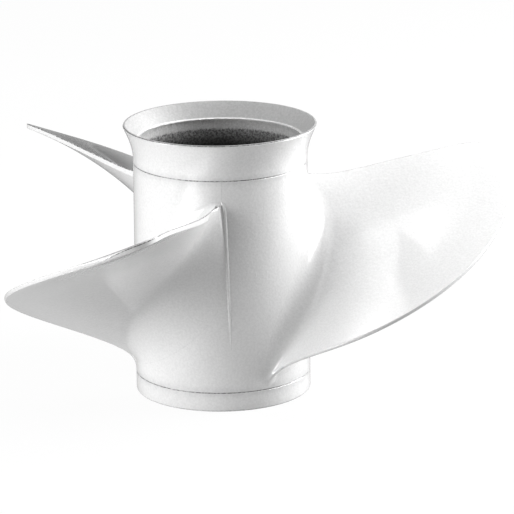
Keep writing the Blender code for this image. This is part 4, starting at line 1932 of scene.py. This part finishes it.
@dataclass(frozen=True)
class Studio:
    """A pale floor, soft light, and the camera at the photograph's viewing angle."""

    # The camera stands off a pivot on the shaft axis, and looks down at this angle
    camera_distance: float = 2.2661
    camera_elevation_degrees: float = 15.869
    camera_pivot: float = 0.0800
    # The point that it looks at, as distance to the right and height, and its turn
    aim: tuple[float, float] = (0.02198, 0.08334)
    roll: float = -0.01265
    # Focal length and frame width in pixels, and sensor width in millimetres
    lens_pixels: float = 3633.3
    frame_pixels: float = 514.0
    sensor: float = 36.0
    near_clip: float = 0.05
    floor_radius: float = 6.0
    floor_sides: int = 96
    # Roughness of the floor and the card
    dull: float = 0.9
    # Tone of the floor in the lamps' light, and the glow that it gives the propeller
    bounce_tone: float = 0.04
    bounce_glow: float = 0.20
    # What a pool in front and both sides add to that glow, and where they fade
    pool_glow: float = 0.32
    pool_centre: tuple[float, float] = (-0.03, -0.10)
    pool_radii: tuple[float, float] = (0.12, 0.26)
    side_glow: float = 0.22
    side_reach: tuple[float, float] = (0.06, 0.20)
    # Lower corner, width, height and colour of the black card
    flag_corner: tuple[float, float, float] = (0.0, 0.066, 0.050)
    flag_size: tuple[float, float] = (0.110, 0.300)
    card_colour: Colour = (0.02, 0.02, 0.02)
    # The floor and the air as the camera sees them, and the air's light on the propeller
    seen_glow: float = 0.95
    air_seen: float = 1.0
    air_bounce: float = 0.035
    lights: tuple[SoftBox, ...] = (
        SoftBox("left_softbox", -63.0, 12.0, 1.4, 0.8, 17.5),
        SoftBox("left_low_softbox", -70.0, 4.0, 1.4, 0.5, 1.8),
        SoftBox("left_high_softbox", -60.0, 60.0, 1.4, 1.2, 2.2),
        SoftBox("left_back_softbox", -120.0, 60.0, 1.4, 0.8, 2.8),
        SoftBox("right_softbox", 106.0, 38.0, 1.4, 1.2, 29.0),
        SoftBox("right_low_softbox", 106.0, 15.0, 1.5, 1.0, 25.0),
        SoftBox("overhead_softbox", 0.0, 90.0, 1.6, 1.5, 8.0),
    )

    def floor(self) -> bpy.types.Object:
        """Lay the floor under the front face.

        Returns:
            The floor, which is nearly white to the eye, gives back only part of the lamps' light, and glows
            to light the propeller.
        """
        bm = bmesh.new()
        bmesh.ops.create_circle(bm, cap_ends=True, segments=self.floor_sides, radius=self.floor_radius)
        bmesh.ops.translate(bm, verts=bm.verts, vec=(0.0, 0.0, LEVEL))
        mesh = bpy.data.meshes.new("studio_floor")
        bm.to_mesh(mesh)
        bm.free()
        material, graph, shader = new_material("floor_paper", (self.seen_glow,) * 3)
        seen = graph.add("ShaderNodeLightPath").outputs["Is Camera Ray"]
        glow = self.bounce(graph)
        glow = graph.math("MULTIPLY_ADD", seen, graph.math("SUBTRACT", self.seen_glow, glow), glow)
        shader.inputs["Base Color"].default_value = (*(self.bounce_tone,) * 3, 1.0)
        shader.inputs["Roughness"].default_value = self.dull
        shader.inputs["Specular IOR Level"].default_value = 0.0
        shader.inputs["Emission Color"].default_value = (1.0, 1.0, 1.0, 1.0)
        graph.feed(shader.inputs["Emission Strength"], glow)
        mesh.materials.append(material)
        floor = set_up("studio_floor", mesh)
        return floor

    def bounce(self, graph: Graph) -> bpy.types.NodeSocket:
        """The glow that the floor gives the propeller: a pool in front, and more at both sides.

        Args:
            graph: The floor's material tree.

        Returns:
            The strength of the glow.
        """
        place = graph.add("ShaderNodeTexCoord").outputs["Object"]
        ends = {0: place, 1: (*self.pool_centre, LEVEL)}
        away = graph.add("ShaderNodeVectorMath", ends, operation="DISTANCE")
        pool = graph.ramp(away.outputs["Value"], *self.pool_radii, self.pool_glow, 0.0)
        across = graph.math("ABSOLUTE", graph.add("ShaderNodeSeparateXYZ", {0: place}).outputs["X"])
        sides = graph.ramp(across, *self.side_reach, 0.0, self.side_glow)
        return graph.math("ADD", graph.math("ADD", pool, sides), self.bounce_glow)

    def flag(self) -> bpy.types.Object:
        """Hang a black card behind the tube, which keeps the right lights off the far blade.

        Returns:
            The card, which the camera doesn't see.
        """
        x, y, z = self.flag_corner
        wide, high = self.flag_size
        corners = [(x, y, z), (x, y + wide, z), (x, y + wide, z + high), (x, y, z + high)]
        mesh = bpy.data.meshes.new("black_flag")
        mesh.from_pydata(corners, [], [(0, 1, 2, 3)])
        material, _, shader = new_material("black_card", self.card_colour)
        shader.inputs["Base Color"].default_value = (*self.card_colour, 1.0)
        shader.inputs["Roughness"].default_value = self.dull
        mesh.materials.append(material)
        card = set_up("black_flag", mesh)
        card.visible_camera = False
        return card

    def air(self) -> None:
        """Fill the room with pale air, which lights the propeller only a little."""
        world = bpy.data.worlds.new("pale_room")
        world.use_nodes = True
        graph = Graph(world.node_tree)
        seen = graph.add("ShaderNodeLightPath").outputs["Is Camera Ray"]
        background = world.node_tree.nodes["Background"]
        background.inputs["Color"].default_value = (1.0, 1.0, 1.0, 1.0)
        gain = self.air_seen - self.air_bounce
        strength = graph.math("MULTIPLY_ADD", seen, gain, self.air_bounce)
        graph.feed(background.inputs["Strength"], strength)
        bpy.context.scene.world = world
        bpy.context.scene.view_settings.view_transform = "Standard"

    def camera(self) -> bpy.types.Object:
        """Set up the camera.

        Returns:
            The camera.
        """
        elevation = math.radians(self.camera_elevation_degrees)
        place_at = Vector((0.0, -math.cos(elevation), math.sin(elevation))) * self.camera_distance
        place_at.z += self.camera_pivot + LEVEL
        target = Vector((self.aim[0], 0.0, self.aim[1] + LEVEL))
        ahead = (target - place_at).normalized()
        right = ahead.cross(Vector((0.0, 0.0, 1.0))).normalized()
        up = right.cross(ahead)
        turned_right = right * math.cos(self.roll) + up * math.sin(self.roll)
        turned_up = up * math.cos(self.roll) - right * math.sin(self.roll)
        data = bpy.data.cameras.new("photo_view")
        data.sensor_width = self.sensor
        data.lens = self.lens_pixels * self.sensor / self.frame_pixels
        data.clip_start = self.near_clip
        camera = set_up("photo_view", data)
        basis = Matrix((turned_right, turned_up, -ahead)).transposed()
        camera.matrix_world = Matrix.Translation(place_at) @ basis.to_4x4()
        bpy.context.scene.camera = camera
        return camera

    def build(self) -> None:
        """Set the whole studio up."""
        self.floor()
        self.flag()
        self.air()
        for light in self.lights:
            light.build()
        self.camera()


def main() -> None:
    """Build every sub-assembly in order, report its pieces, and set the studio up."""
    logging.basicConfig(level=logging.INFO, format="%(name)s: %(message)s")
    angles = tuple(math.radians(FIRST_BLADE_DEGREES) + k * TAU / BLADES for k in range(BLADES))
    finishes = Finishes.make()
    trees = Trees()
    tube = Tube()
    cast_blades = [Blade(number, angle, tube) for number, angle in enumerate(angles, start=1)]
    assemblies = (
        tube,
        *cast_blades,
        PartingRidges(cast_blades[0], BLADES),
        InnerHub(tube, angles),
        Bushing(),
    )
    for assembly in assemblies:
        for piece in assembly.build(finishes, trees):
            LOG.info("%s: %d faces", piece.name, len(piece.data.polygons))
    Studio().build()


if __name__ == "__main__":
    main()
